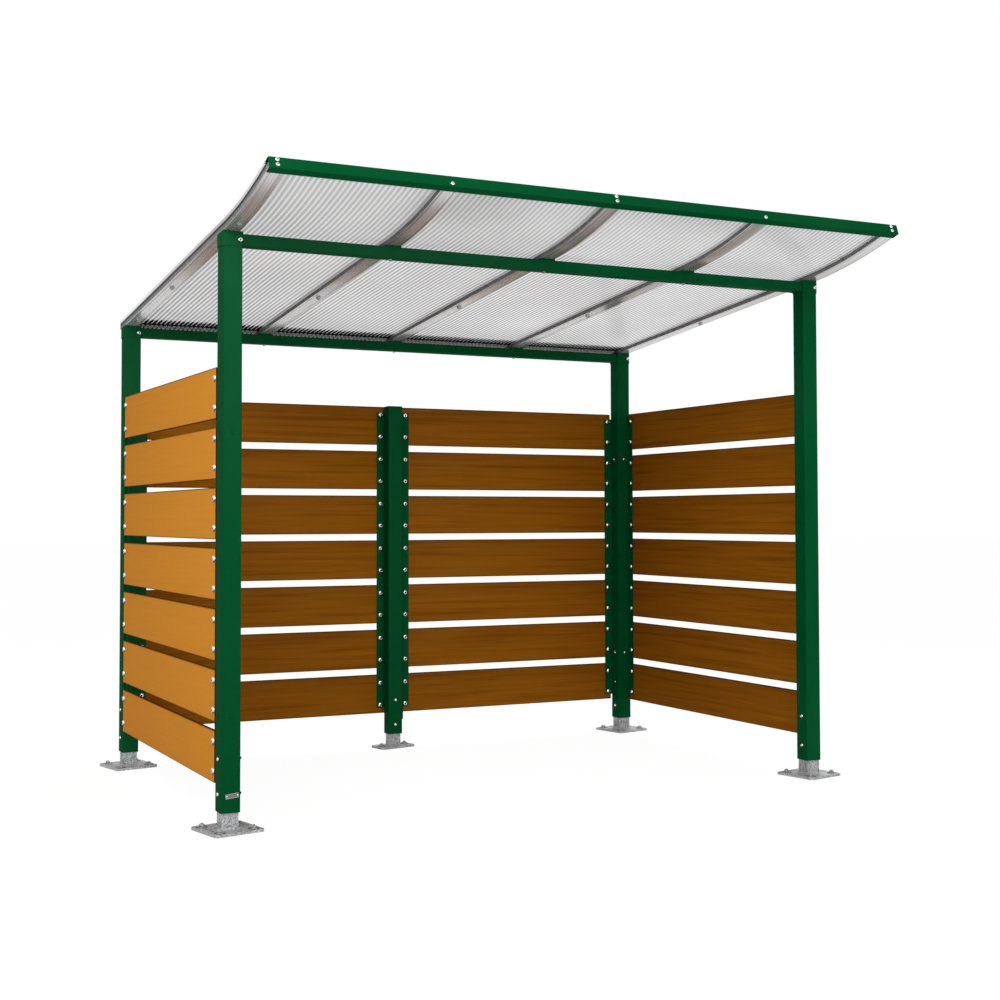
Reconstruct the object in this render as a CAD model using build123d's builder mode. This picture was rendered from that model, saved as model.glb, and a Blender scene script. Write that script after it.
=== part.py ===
"""Bin shelter: four steel posts, slatted timber sides and back, and a curved roof on aluminium ribs.

Millimetres. +X runs along the width, +Y from the open front to the back wall, +Z up.
The origin is on the ground, at the centre of the bounding box seen from above.
"""
from build123d import *
from math import asin, cos, radians, sin, sqrt, tan
import os

# Overall size, measured over the outer faces of the posts
shelter_width = 2564.0
shelter_depth = 1552.0
front_height = 2065.0  # ground to the seat of the ribs, at the front face of the front posts
roof_pitch = 6.0  # degrees, falling to the back

# Posts
post_size = 70.0
post_wall = 5.0
post_corner = 5.0
mid_post_width = 70.0
mid_post_top_plate = 3.0
mid_post_shift = -8.0  # the short back post stands this far from the middle of the width
mid_post_above_boards = 1.0

# Feet
plate_size = 190.0
plate_thickness = 10.0
plate_corner = 15.0
plate_turn = 12.0  # degrees, the plates stand turned about their posts
anchor_spacing = 130.0
anchor_hole_radius = 7.0
foot_length_shown = 55.0  # tube seen between the plate and the post
foot_length_hidden = 215.0  # tube pushed up into the post
foot_tube_wall = 4.0
mid_plate_width = 185.0
mid_plate_depth = 105.0
mid_anchor_spacing = 130.0
mid_tube_depth = 36.0

# Post caps
cap_sheet = 2.0
cap_skirt = 52.0

# Beams
beam_depth = 60.0
beam_height = 40.0
beam_wall = 3.0
beam_corner = 2.0

# Timber boards
board_count = 7
board_height = 180.0
board_gap = 30.0
board_thickness = 10.0
board_end_gap = 10.0
board_middle_gap = 30.0
lowest_board = 157.5  # ground to the underside of the lowest board

# Folded brackets behind the board ends
bracket_sheet = 2.0
bracket_flange = 44.0
bracket_end_margin = 24.5
bracket_corner = 6.0
mid_flange_plate_width = 164.0
mid_flange_plate_shift = 2.0
mid_tongue_drop = 60.0
mid_tongue_reach = 28.0

# Roof ribs, in layers counted up from the underside
rib_width = 60.0
rib_base = 16.0
seal_thickness = 2.0
panel_thickness = 16.0
rib_cap = 5.0
rib_web = 8.0
rib_bays = 4
roof_arc_radius = 2262.0  # underside of the ribs, hollow side up
roof_arc_start = 15.0  # behind the front face of the posts
roof_arc_sweep = 13.35  # degrees
roof_back_overhang = 21.0
panel_edge_clearance = 6.0
seal_strip = 8.0
seal_inset = 3.0
end_lip = 3.0
end_lip_drop = 9.0

# Fascia channel along the front end of the ribs
fascia_sheet = 2.5
fascia_depth = 34.0
fascia_clearance = 0.5

# Trim over the back ends of the panels
trim_sheet = 1.4
trim_depth = 18.0

# Bare plate on the front left post
label_width = 46.0
label_height = 16.0
label_thickness = 1.0
label_corner = 1.0
label_turn = 6.0  # degrees, the plate sits a little askew
label_centre_x = 5.0  # to the right of the post's centre
label_centre_z = 58.0  # above the post's lower end

# Fits
fit_gap = 0.3

half_width = shelter_width / 2
post_bottom = plate_thickness + foot_length_shown
foot_tube = post_size - 2 * post_wall - 2 * fit_gap
turn = radians(plate_turn)
plate_reach = (plate_size / 2 - plate_corner) * (cos(turn) + sin(turn)) + plate_corner
layer_seal = rib_base
layer_panel = layer_seal + seal_thickness
layer_top_seal = layer_panel + panel_thickness
layer_cap = layer_top_seal + seal_thickness
layer_top = layer_cap + rib_cap
pitch = radians(roof_pitch)
front_angle = pitch + radians(roof_arc_sweep)

# Distances back from the front face of the posts, which give the origin its place
arc_centre_back = roof_arc_start + roof_arc_radius * sin(pitch)
fascia_lip = fascia_sheet + fascia_clearance
fascia_reach = (
    roof_arc_radius * sin(front_angle)
    - arc_centre_back
    + fascia_sheet * cos(front_angle)
    + fascia_lip * sin(front_angle)
)
plan_back = max(shelter_depth - post_size / 2 + plate_reach, shelter_depth + roof_back_overhang)
front_face = (fascia_reach - plan_back) / 2
back_face = front_face + shelter_depth
post_x = half_width - post_size / 2
front_post_y = front_face + post_size / 2
back_post_y = back_face - post_size / 2

# Centre of the roof's arc in the plane of a rib
arc_centre_y = front_face + arc_centre_back
arc_centre_z = front_height - roof_arc_start * tan(pitch) + roof_arc_radius * cos(pitch)

boards_top = lowest_board + board_count * board_height + (board_count - 1) * board_gap
bracket_bottom = lowest_board + bracket_end_margin
bracket_height = boards_top - lowest_board - 2 * bracket_end_margin
board_back = back_face - board_thickness
mid_post_x = mid_post_shift
mid_post_front = back_face - post_size
mid_post_back = board_back - bracket_sheet
mid_post_depth = mid_post_back - mid_post_front
mid_post_y = (mid_post_front + mid_post_back) / 2

rib_span = shelter_width / rib_bays
end_rib_x = half_width - rib_width / 2
rib_centres = [-end_rib_x] + [rib_span * bay - half_width for bay in range(1, rib_bays)] + [end_rib_x]
back_run = (roof_back_overhang + shelter_depth - roof_arc_start) / cos(pitch)
cap_end_angle = front_angle - asin((fascia_depth + fit_gap) / roof_arc_radius)

os.makedirs("parts", exist_ok=True)


def seat_height(y):
    """Height of the straight seat of the ribs at a place between the posts."""
    return front_height - (y - front_face) * tan(pitch)


def seat_plane(y, offset):
    """Plane parallel to the roof's slope, facing up, moved up along its normal."""
    return Plane(origin=(0, y, seat_height(y)), x_dir=(1, 0, 0), z_dir=(0, sin(pitch), cos(pitch))).offset(offset)


def arc_point(angle, height):
    """Point on the roof's arc, at a height above the underside of the ribs."""
    radius = roof_arc_radius - height
    return arc_centre_y - radius * sin(angle), arc_centre_z - radius * cos(angle)


def back_point(run, height):
    """Point on the straight part of the roof, a run behind the start of the arc."""
    y, z = arc_point(pitch, height)
    return y + run * cos(pitch), z - run * sin(pitch)


def roof_strip(x, low, high, start_angle=front_angle, end_run=back_run):
    """Face across one layer of the roof, from its front end to its back end."""
    middle = (start_angle + pitch) / 2
    with BuildSketch(Plane.YZ.offset(x)) as strip:
        with BuildLine():
            Line(back_point(end_run, low), arc_point(pitch, low))
            ThreePointArc(arc_point(pitch, low), arc_point(middle, low), arc_point(start_angle, low))
            Line(arc_point(start_angle, low), arc_point(start_angle, high))
            ThreePointArc(arc_point(start_angle, high), arc_point(middle, high), arc_point(pitch, high))
            Line(arc_point(pitch, high), back_point(end_run, high))
            Line(back_point(end_run, high), back_point(end_run, low))
        make_face()
    return strip.sketch


def save(builder, name):
    """Label a finished piece and write it."""
    builder.part.label = name
    export_step(builder.part, f"parts/{name}.step")


# Corner posts, square tubes cut to the slope of the roof at the top
corners = {
    "front_left": (-post_x, front_post_y),
    "front_right": (post_x, front_post_y),
    "back_left": (-post_x, back_post_y),
    "back_right": (post_x, back_post_y),
}
for corner, (x, y) in corners.items():
    with BuildPart() as post:
        with BuildSketch(Plane.XY.offset(post_bottom)):
            with Locations((x, y)):
                RectangleRounded(post_size, post_size, post_corner)
                Rectangle(post_size - 2 * post_wall, post_size - 2 * post_wall, mode=Mode.SUBTRACT)
        extrude(amount=front_height - post_bottom)
        split(bisect_by=seat_plane(y, -cap_sheet), keep=Keep.BOTTOM)
    save(post, f"{corner}_post")

# Caps, folded sleeves over the post tops with a sloping lid
cap_inside = post_size + 2 * fit_gap
cap_outside = cap_inside + 2 * cap_sheet
for corner, (x, y) in corners.items():
    cap_bottom = seat_height(y - post_size / 2) - cap_skirt
    with BuildPart() as hollow:
        with BuildSketch(Plane.XY.offset(cap_bottom)):
            with Locations((x, y)):
                RectangleRounded(cap_inside, cap_inside, post_corner)
        extrude(amount=2 * cap_skirt)
        split(bisect_by=seat_plane(y, -cap_sheet), keep=Keep.BOTTOM)
    with BuildPart() as cap:
        with BuildSketch(Plane.XY.offset(cap_bottom)):
            with Locations((x, y)):
                RectangleRounded(cap_outside, cap_outside, post_corner + cap_sheet)
        extrude(amount=2 * cap_skirt)
        split(bisect_by=seat_plane(y, 0), keep=Keep.BOTTOM)
        add(hollow.part, mode=Mode.SUBTRACT)
    save(cap, f"{corner}_cap")

# Feet of the corner posts, a tube standing on a turned plate with rounded corners and four anchor holes
for corner, (x, y) in corners.items():
    with BuildPart() as foot:
        with BuildSketch():
            with Locations(Location((x, y, 0), (0, 0, plate_turn))):
                RectangleRounded(plate_size, plate_size, plate_corner)
                with GridLocations(anchor_spacing, anchor_spacing, 2, 2):
                    Circle(anchor_hole_radius, mode=Mode.SUBTRACT)
        extrude(amount=plate_thickness)
        with BuildSketch(Plane.XY.offset(plate_thickness)):
            with Locations((x, y)):
                Rectangle(foot_tube, foot_tube)
                Rectangle(foot_tube - 2 * foot_tube_wall, foot_tube - 2 * foot_tube_wall, mode=Mode.SUBTRACT)
        extrude(amount=foot_length_shown + foot_length_hidden)
    save(foot, f"{corner}_foot")

# Short post in the middle of the back wall, closed at the top
with BuildPart() as mid_post:
    mid_post_height = boards_top + mid_post_above_boards - post_bottom
    with BuildSketch(Plane.XY.offset(post_bottom)):
        with Locations((mid_post_x, mid_post_y)):
            RectangleRounded(mid_post_width, mid_post_depth, post_corner)
    extrude(amount=mid_post_height)
    with BuildSketch(Plane.XY.offset(post_bottom)):
        with Locations((mid_post_x, mid_post_y)):
            Rectangle(mid_post_width - 2 * post_wall, mid_post_depth - 2 * post_wall)
    extrude(amount=mid_post_height - mid_post_top_plate, mode=Mode.SUBTRACT)
save(mid_post, "middle_post")

# Its foot, narrower from front to back
with BuildPart() as mid_foot:
    mid_tube_width = mid_post_width - 2 * post_wall - 2 * fit_gap
    with BuildSketch():
        with Locations(Location((mid_post_x, mid_post_y, 0), (0, 0, plate_turn))):
            RectangleRounded(mid_plate_width, mid_plate_depth, plate_corner)
            with GridLocations(mid_anchor_spacing, 0, 2, 1):
                Circle(anchor_hole_radius, mode=Mode.SUBTRACT)
    extrude(amount=plate_thickness)
    with BuildSketch(Plane.XY.offset(plate_thickness)):
        with Locations((mid_post_x, mid_post_y)):
            Rectangle(mid_tube_width, mid_tube_depth)
            Rectangle(mid_tube_width - 2 * foot_tube_wall, mid_tube_depth - 2 * foot_tube_wall, mode=Mode.SUBTRACT)
    extrude(amount=foot_length_shown + foot_length_hidden)
save(mid_foot, "middle_foot")

# Beams between the caps, level tubes with a wedge under each inner rib
beam_half_length = half_width - post_size - fit_gap - cap_sheet
for name, beam_y in (("front_beam", front_post_y), ("back_beam", back_post_y)):
    beam_front = beam_y - beam_depth / 2
    beam_back = beam_y + beam_depth / 2
    beam_top = seat_height(beam_back)
    with BuildPart() as beam:
        with BuildSketch(Plane.YZ.offset(-beam_half_length)):
            with Locations((beam_y, beam_top - beam_height / 2)):
                RectangleRounded(beam_depth, beam_height, beam_corner)
                Rectangle(beam_depth - 2 * beam_wall, beam_height - 2 * beam_wall, mode=Mode.SUBTRACT)
        extrude(amount=2 * beam_half_length)
        for rib_x in rib_centres[1:-1]:
            with BuildSketch(Plane.YZ.offset(rib_x - rib_width / 2)):
                with BuildLine():
                    Polyline(
                        (beam_front + beam_corner, beam_top - beam_wall / 2),
                        (beam_back - beam_corner, beam_top - beam_wall / 2),
                        (beam_back - beam_corner, seat_height(beam_back - beam_corner)),
                        (beam_front + beam_corner, seat_height(beam_front + beam_corner)),
                        close=True,
                    )
                make_face()
            extrude(amount=rib_width)
    save(beam, name)

# Ribs, a flat base with an upright web that carries the cap
for number, rib_x in enumerate(rib_centres, start=1):
    with BuildPart() as rib:
        extrude(roof_strip(rib_x - rib_width / 2, 0, rib_base), amount=rib_width)
        extrude(roof_strip(rib_x - rib_web / 2, rib_base, layer_cap, cap_end_angle), amount=rib_web)
    save(rib, f"rib_{number}")

# Rib caps, flat covers, with a lip down the outer side on the two end ribs
for number, rib_x in enumerate(rib_centres, start=1):
    with BuildPart() as rib_cover:
        extrude(roof_strip(rib_x - rib_width / 2, layer_cap, layer_top, cap_end_angle), amount=rib_width)
        if number in (1, len(rib_centres)):
            lip_x = rib_x - rib_width / 2 if number == 1 else rib_x + rib_width / 2 - end_lip
            extrude(roof_strip(lip_x, layer_cap - end_lip_drop, layer_cap, cap_end_angle), amount=end_lip)
    save(rib_cover, f"rib_cap_{number}")

# Roof panels between the ribs
panel_edge = rib_web / 2 + panel_edge_clearance
panel_run = back_run - trim_sheet - fit_gap
for number, (left_x, right_x) in enumerate(zip(rib_centres, rib_centres[1:]), start=1):
    with BuildPart() as panel:
        face = roof_strip(left_x + panel_edge, layer_panel, layer_top_seal, end_run=panel_run)
        extrude(face, amount=right_x - left_x - 2 * panel_edge)
    save(panel, f"roof_panel_{number}")

# Rubber seals under and over the panels, and a filler down the outer side of the end ribs
seal_run = back_run - trim_depth - fit_gap
with BuildPart() as seals:
    for number, rib_x in enumerate(rib_centres, start=1):
        outer_side = {1: -1, len(rib_centres): 1}.get(number, 0)
        for side in (-1, 1):
            if side == outer_side:
                filler_inner = rib_x + side * (rib_web / 2 + fit_gap)
                filler_outer = rib_x + side * (rib_width / 2 - end_lip - fit_gap)
                extrude(
                    roof_strip(min(filler_inner, filler_outer), layer_seal, layer_cap, cap_end_angle, back_run),
                    amount=abs(filler_outer - filler_inner),
                )
            else:
                strip_x = rib_x + side * (rib_width / 2 - seal_inset - seal_strip / 2) - seal_strip / 2
                lower = roof_strip(strip_x, layer_seal, layer_panel - fit_gap, cap_end_angle, seal_run)
                upper = roof_strip(strip_x, layer_top_seal + fit_gap, layer_cap, cap_end_angle, seal_run)
                extrude(lower, amount=seal_strip)
                extrude(upper, amount=seal_strip)
save(seals, "rib_seals")

# Fascia, a channel square to the roof's front end
fascia_plane = Plane(
    origin=(-half_width, *arc_point(front_angle, 0)),
    x_dir=(0, cos(front_angle), -sin(front_angle)),
    z_dir=(1, 0, 0),
)
with BuildPart() as fascia:
    with BuildSketch(fascia_plane):
        with BuildLine():
            Polyline(
                (fascia_depth - fascia_sheet, -fascia_lip),
                (-fascia_sheet, -fascia_lip),
                (-fascia_sheet, layer_top_seal + fascia_lip),
                (fascia_depth - fascia_sheet, layer_top_seal + fascia_lip),
                (fascia_depth - fascia_sheet, layer_top_seal + fascia_clearance),
                (0, layer_top_seal + fascia_clearance),
                (0, -fascia_clearance),
                (fascia_depth - fascia_sheet, -fascia_clearance),
                close=True,
            )
        make_face()
    extrude(amount=shelter_width)
save(fascia, "fascia")

# Trim over the back ends of the panels, a small channel in each bay
trim_low = layer_panel - fit_gap - trim_sheet
trim_high = layer_top_seal + fit_gap + trim_sheet
with BuildPart() as trim:
    for left_x, right_x in zip(rib_centres, rib_centres[1:]):
        trim_left = left_x + panel_edge
        trim_length = right_x - left_x - 2 * panel_edge
        with BuildSketch(Plane.YZ.offset(trim_left)):
            with BuildLine():
                Polyline(
                    back_point(back_run, trim_low),
                    back_point(back_run, trim_high),
                    back_point(back_run - trim_depth, trim_high),
                    back_point(back_run - trim_depth, trim_high - trim_sheet),
                    back_point(back_run - trim_sheet, trim_high - trim_sheet),
                    back_point(back_run - trim_sheet, trim_low + trim_sheet),
                    back_point(back_run - trim_depth, trim_low + trim_sheet),
                    back_point(back_run - trim_depth, trim_low),
                    close=True,
                )
            make_face()
        extrude(amount=trim_length)
save(trim, "panel_end_trim")

# Board walls: both sides, and the back in two halves that meet behind the short post
side_board_length = shelter_depth - 2 * post_size - 2 * board_end_gap
back_board_outer = half_width - post_size - board_end_gap
back_board_inner = mid_flange_plate_shift
back_left_length = back_board_outer + back_board_inner - board_middle_gap / 2
back_right_length = back_board_outer - back_board_inner - board_middle_gap / 2
side_y = (front_face + back_face) / 2
walls = {
    "left_boards": (-half_width + board_thickness / 2, side_y, board_thickness, side_board_length),
    "right_boards": (half_width - board_thickness / 2, side_y, board_thickness, side_board_length),
    "back_left_boards": (
        back_left_length / 2 - back_board_outer,
        back_face - board_thickness / 2,
        back_left_length,
        board_thickness,
    ),
    "back_right_boards": (
        back_board_outer - back_right_length / 2,
        back_face - board_thickness / 2,
        back_right_length,
        board_thickness,
    ),
}
for name, (x, y, x_size, y_size) in walls.items():
    with BuildPart() as wall:
        for row in range(board_count):
            with BuildSketch(Plane.XY.offset(lowest_board + row * (board_height + board_gap))):
                with Locations((x, y)):
                    Rectangle(x_size, y_size)
            extrude(amount=board_height)
    save(wall, name)

# Brackets at the back corners, one folded sheet round the inner faces of the post
leg_inner = half_width - post_size - fit_gap - bracket_sheet
side_flange_x = half_width - board_thickness - bracket_sheet / 2
back_flange_y = board_back - bracket_sheet / 2
front_leg_y = back_face - post_size - fit_gap - bracket_sheet / 2
side_leg_x = leg_inner + bracket_sheet / 2
side_flange_end = back_face - post_size - bracket_flange
back_flange_end = half_width - post_size - bracket_flange
for name, side in (("back_left_bracket", -1), ("back_right_bracket", 1)):
    with BuildPart() as bracket:
        with BuildSketch(Plane.XY.offset(bracket_bottom)):
            with Locations((side * (back_flange_end + leg_inner + bracket_sheet) / 2, back_flange_y)):
                Rectangle(leg_inner + bracket_sheet - back_flange_end, bracket_sheet)
            with Locations((side * side_leg_x, (front_leg_y + back_flange_y) / 2)):
                Rectangle(bracket_sheet, back_flange_y - front_leg_y + bracket_sheet)
            with Locations((side * (side_leg_x + side_flange_x) / 2, front_leg_y)):
                Rectangle(side_flange_x - side_leg_x + bracket_sheet, bracket_sheet)
            with Locations((side * side_flange_x, (side_flange_end + front_leg_y + bracket_sheet / 2) / 2)):
                Rectangle(bracket_sheet, front_leg_y + bracket_sheet / 2 - side_flange_end)
        extrude(amount=bracket_height)
        sheet_edges = bracket.edges().filter_by(lambda edge: edge.length < 2 * bracket_sheet)
        back_flange_corners = sheet_edges.filter_by(Axis.Y).sort_by(Axis.X, reverse=side < 0)[:2]
        side_flange_corners = sheet_edges.filter_by(Axis.X).sort_by(Axis.Y)[:2]
        fillet(back_flange_corners + side_flange_corners, bracket_corner)
    save(bracket, name)

# Brackets at the front posts, an angle on the back face of the post
front_leg_back = front_face + post_size + fit_gap + bracket_sheet / 2
front_flange_end = front_face + post_size + bracket_flange
front_leg_inner = half_width - post_size + post_corner
for name, side in (("front_left_bracket", -1), ("front_right_bracket", 1)):
    with BuildPart() as bracket:
        with BuildSketch(Plane.XY.offset(bracket_bottom)):
            with Locations((side * (front_leg_inner + side_flange_x + bracket_sheet / 2) / 2, front_leg_back)):
                Rectangle(side_flange_x + bracket_sheet / 2 - front_leg_inner, bracket_sheet)
            with Locations((side * side_flange_x, (front_leg_back - bracket_sheet / 2 + front_flange_end) / 2)):
                Rectangle(bracket_sheet, front_flange_end - front_leg_back + bracket_sheet / 2)
        extrude(amount=bracket_height)
        sheet_edges = bracket.edges().filter_by(lambda edge: edge.length < 2 * bracket_sheet)
        fillet(sheet_edges.filter_by(Axis.X).sort_by(Axis.Y)[-2:], bracket_corner)
    save(bracket, name)

# Flat plate between the short post and the boards, with a tongue that hangs lower at the right
plate_left = mid_flange_plate_shift - mid_flange_plate_width / 2
plate_right = mid_flange_plate_shift + mid_flange_plate_width / 2
tongue_right = mid_post_x + mid_post_width / 2 + mid_tongue_reach
with BuildPart() as mid_plate:
    with BuildSketch(Plane.XZ.offset(-board_back)):
        with Locations((mid_flange_plate_shift, bracket_bottom + bracket_height / 2)):
            RectangleRounded(mid_flange_plate_width, bracket_height, bracket_corner)
        with Locations(((mid_post_x + tongue_right) / 2, bracket_bottom)):
            RectangleRounded(tongue_right - mid_post_x, 2 * mid_tongue_drop, bracket_corner)
    extrude(amount=bracket_sheet)
save(mid_plate, "middle_plate")

# Bare plate near the foot of the front left post
with BuildPart() as label_plate:
    with BuildSketch(Plane.XZ.offset(-front_face)):
        with Locations(Location((label_centre_x - post_x, post_bottom + label_centre_z, 0), (0, 0, label_turn))):
            RectangleRounded(label_width, label_height, label_corner)
    extrude(amount=label_thickness)
save(label_plate, "blank_plate")
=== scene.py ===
"""Visual model of a bin shelter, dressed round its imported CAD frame.

Metres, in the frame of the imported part: +X along the width, +Y from the open front to the back
wall, +Z up, with the origin on the ground.
"""

import logging
import math
import random
from dataclasses import dataclass, field
from enum import Enum
from typing import Any, Callable, Iterable, Sequence

import bpy
from mathutils import Matrix, Vector, noise


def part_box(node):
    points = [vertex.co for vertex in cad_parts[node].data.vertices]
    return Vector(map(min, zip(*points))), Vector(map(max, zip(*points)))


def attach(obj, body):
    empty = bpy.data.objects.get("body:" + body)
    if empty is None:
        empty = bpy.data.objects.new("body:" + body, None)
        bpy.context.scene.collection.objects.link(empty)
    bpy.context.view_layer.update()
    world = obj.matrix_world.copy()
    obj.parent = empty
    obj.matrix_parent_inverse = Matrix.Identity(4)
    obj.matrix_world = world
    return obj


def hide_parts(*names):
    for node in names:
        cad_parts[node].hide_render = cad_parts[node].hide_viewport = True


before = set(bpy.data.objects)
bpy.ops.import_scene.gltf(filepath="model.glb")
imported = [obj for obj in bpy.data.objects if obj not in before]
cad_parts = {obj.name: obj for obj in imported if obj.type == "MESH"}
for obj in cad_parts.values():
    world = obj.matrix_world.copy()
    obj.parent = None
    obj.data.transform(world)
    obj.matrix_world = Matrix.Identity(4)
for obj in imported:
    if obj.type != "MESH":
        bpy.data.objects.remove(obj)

LOG = logging.getLogger("bin_shelter")
ROOT_BODY = "root"
IMAGE_SIZE = 1000
CORNERS = ("front_left", "front_right", "back_left", "back_right")
UP = Vector((0.0, 0.0, 1.0))
FRONT = Vector((0.0, -1.0, 0.0))
BACK = Vector((0.0, 1.0, 0.0))
DOWN = Vector((0.0, 0.0, -1.0))
SQUARE = ((-1, -1), (1, -1), (1, 1), (-1, 1))
JOIN_REACH = 0.00001
SOFTEN_FROM = math.radians(40.0)
Colour = tuple[float, float, float]
Face = tuple[int, ...]
Point = tuple[float, float]
Spot = tuple[float, float, float]
Material = bpy.types.Material
WHITE: Colour = (1.0, 1.0, 1.0)


class Slot(Enum):
    """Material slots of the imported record."""

    GREEN_PAINT = "green_paint"
    GALVANISED = "galvanised"
    ALUMINIUM = "aluminium"
    ROOF_SHEET = "roof_sheet"
    RUBBER = "rubber"
    BOARDS = "boards"


class Side(Enum):
    """The two sides of the shelter, with their sign along X."""

    LEFT = -1
    RIGHT = 1

    @property
    def out(self) -> Vector:
        """Unit vector to this side."""
        return Vector((self.value, 0.0, 0.0))


class RingShape(Enum):
    """Outline of one ring of a turned part."""

    ROUND = "round"
    HEX = "hex"

    def rings(self, *sizes: Point) -> list[tuple[float, float, "RingShape"]]:
        """Rings of this outline, from their radii and heights."""
        return [(radius, height, self) for radius, height in sizes]


# Finishes


class ShaderSheet:
    """The node tree of one material while its finish is wired."""

    def __init__(self, name: str) -> None:
        """Start a material with one Principled shader.

        Args:
            name: Name of the material.
        """
        self.material = bpy.data.materials.new(name)
        self.material.use_nodes = True
        self.tree = self.material.node_tree
        self.tree.nodes.clear()
        self.output = self.node("OutputMaterial")
        self.surface = self.node("BsdfPrincipled")
        self.feed(self.output.inputs["Surface"], self.surface.outputs["BSDF"])
        coordinates = self.node("TexCoord").outputs
        self.place, self.normal = coordinates["Object"], coordinates["Normal"]

    def feed(self, socket: Any, value: Any) -> None:
        """Give an input an output, a number or a colour.

        Args:
            socket: The input.
            value: What goes into it.
        """
        if isinstance(value, tuple):
            socket.default_value = (*value, 1.0)
        elif isinstance(value, (int, float)):
            socket.default_value = value
        else:
            self.tree.links.new(value, socket)

    def node(self, kind: str, fed: dict[Any, Any] | None = None, **settings: Any) -> Any:
        """Add a node.

        Args:
            kind: Its type, without the words that all shader nodes start with.
            fed: What goes into its inputs, by their names or numbers.
            **settings: Its own settings.

        Returns:
            The node.
        """
        node = self.tree.nodes.new(f"ShaderNode{kind}")
        for name, value in settings.items():
            setattr(node, name, value)
        for socket, value in (fed or {}).items():
            self.feed(node.inputs[socket], value)
        return node

    def set(self, **values: float | Colour) -> None:
        """Write plain values on the Principled shader's own sockets.

        Args:
            **values: Socket names with underscores for spaces, and their values.
        """
        for name, value in values.items():
            self.feed(self.surface.inputs[name.replace("_", " ").title().replace("Ior", "IOR")], value)

    def coat(self, colour: Any, roughness: Any) -> None:
        """Wire the surface's colour and roughness.

        Args:
            colour: Output that gives the colour.
            roughness: Output or number that gives the roughness.
        """
        self.feed(self.surface.inputs["Base Color"], colour)
        self.feed(self.surface.inputs["Roughness"], roughness)

    def cover(self, share: Any, shader: Any) -> None:
        """Mix another shader over the surface.

        Args:
            share: Output or number that sets the other shader's share.
            shader: Output of the other shader.
        """
        mix = self.node("MixShader", {0: share, 1: self.surface.outputs["BSDF"], 2: shader})
        self.feed(self.output.inputs["Surface"], mix.outputs["Shader"])

    def axis(self, vector: Any, name: str) -> Any:
        """One axis of a vector."""
        return self.node("SeparateXYZ", {0: vector}).outputs[name]

    def mapped(self, name: str) -> Any:
        """Coordinates of one of the mesh's own maps."""
        return self.node("UVMap", uv_map=name).outputs["UV"]

    def cells(self, scale: float) -> Any:
        """Flat cells of random colour, a number of them per metre."""
        return self.node("TexVoronoi", {"Scale": scale, "Vector": self.place}).outputs["Color"]

    def stretched(self, factors: Spot, source: Any | None = None) -> Any:
        """Coordinates scaled along each axis.

        Args:
            factors: Scale along X, Y and Z.
            source: Coordinates to start from; the object's own if left out.

        Returns:
            The scaled vector output.
        """
        node = self.node("VectorMath", {0: source or self.place}, operation="MULTIPLY")
        node.inputs[1].default_value = factors
        return node.outputs["Vector"]

    def noise(self, scale: float, detail: float = 3.0, source: Any = None, distortion: float = 0.0) -> Any:
        """A noise texture.

        Args:
            scale: Features per metre.
            detail: Octaves.
            source: Coordinates; the object's own if left out.
            distortion: How far the noise bends itself.

        Returns:
            The factor output.
        """
        fed = {"Scale": scale, "Detail": detail, "Distortion": distortion, "Vector": source or self.place}
        return self.node("TexNoise", fed).outputs["Fac"]

    def ramp(self, source: Any, stops: Iterable[tuple[float, Colour]]) -> Any:
        """A colour ramp.

        Args:
            source: Factor that drives the ramp.
            stops: Position and linear colour of each stop.

        Returns:
            The colour output.
        """
        node = self.node("ValToRGB", {"Fac": source})
        elements, stops = node.color_ramp.elements, list(stops)
        while len(elements) < len(stops):
            elements.new(0.5)
        for element, (position, colour) in zip(elements, stops):
            element.position = position
            element.color = (*colour, 1.0)
        return node.outputs["Color"]

    def between(self, source: Any, low: float, high: float, start: float = 0.0, end: float = 1.0) -> Any:
        """A factor mapped to a range of values.

        Args:
            source: The factor.
            low: Value at the start.
            high: Value at the end.
            start: Factor that gives low.
            end: Factor that gives high.

        Returns:
            The mapped value.
        """
        fed = {"Value": source, "From Min": start, "From Max": end, "To Min": low, "To Max": high}
        return self.node("MapRange", fed).outputs["Result"]

    def blend(self, factor: Any, first: Any, second: Any, mode: str = "MIX") -> Any:
        """Two colours mixed.

        Args:
            factor: Output or number that sets the share of the second.
            first: Output or colour.
            second: Output or colour.
            mode: Blend mode.

        Returns:
            The mixed colour.
        """
        node = self.node("Mix", data_type="RGBA", blend_type=mode)
        for name, value in (("Factor_Float", factor), ("A_Color", first), ("B_Color", second)):
            self.feed(next(s for s in node.inputs if s.identifier == name), value)
        return next(s for s in node.outputs if s.identifier == "Result_Color")

    def math(self, operation: str, first: Any, second: Any = 0.0) -> Any:
        """One step of arithmetic.

        Args:
            operation: Name of the operation.
            first: Output or number.
            second: Output or number.

        Returns:
            The result.
        """
        return self.node("Math", {0: first, 1: second}, operation=operation).outputs["Value"]

    def relief(self, height: Any, distance: float, strength: float = 1.0) -> None:
        """Wire a bump to the shader's normal, over any bump wired before.

        Args:
            height: Output that gives the height.
            distance: Height of the relief in metres.
            strength: Share of the bump that shows.
        """
        node = self.node("Bump", {"Distance": distance, "Strength": strength, "Height": height})
        normal = self.surface.inputs["Normal"]
        if normal.is_linked:
            self.feed(node.inputs["Normal"], normal.links[0].from_socket)
        self.feed(normal, node.outputs["Normal"])


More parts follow.
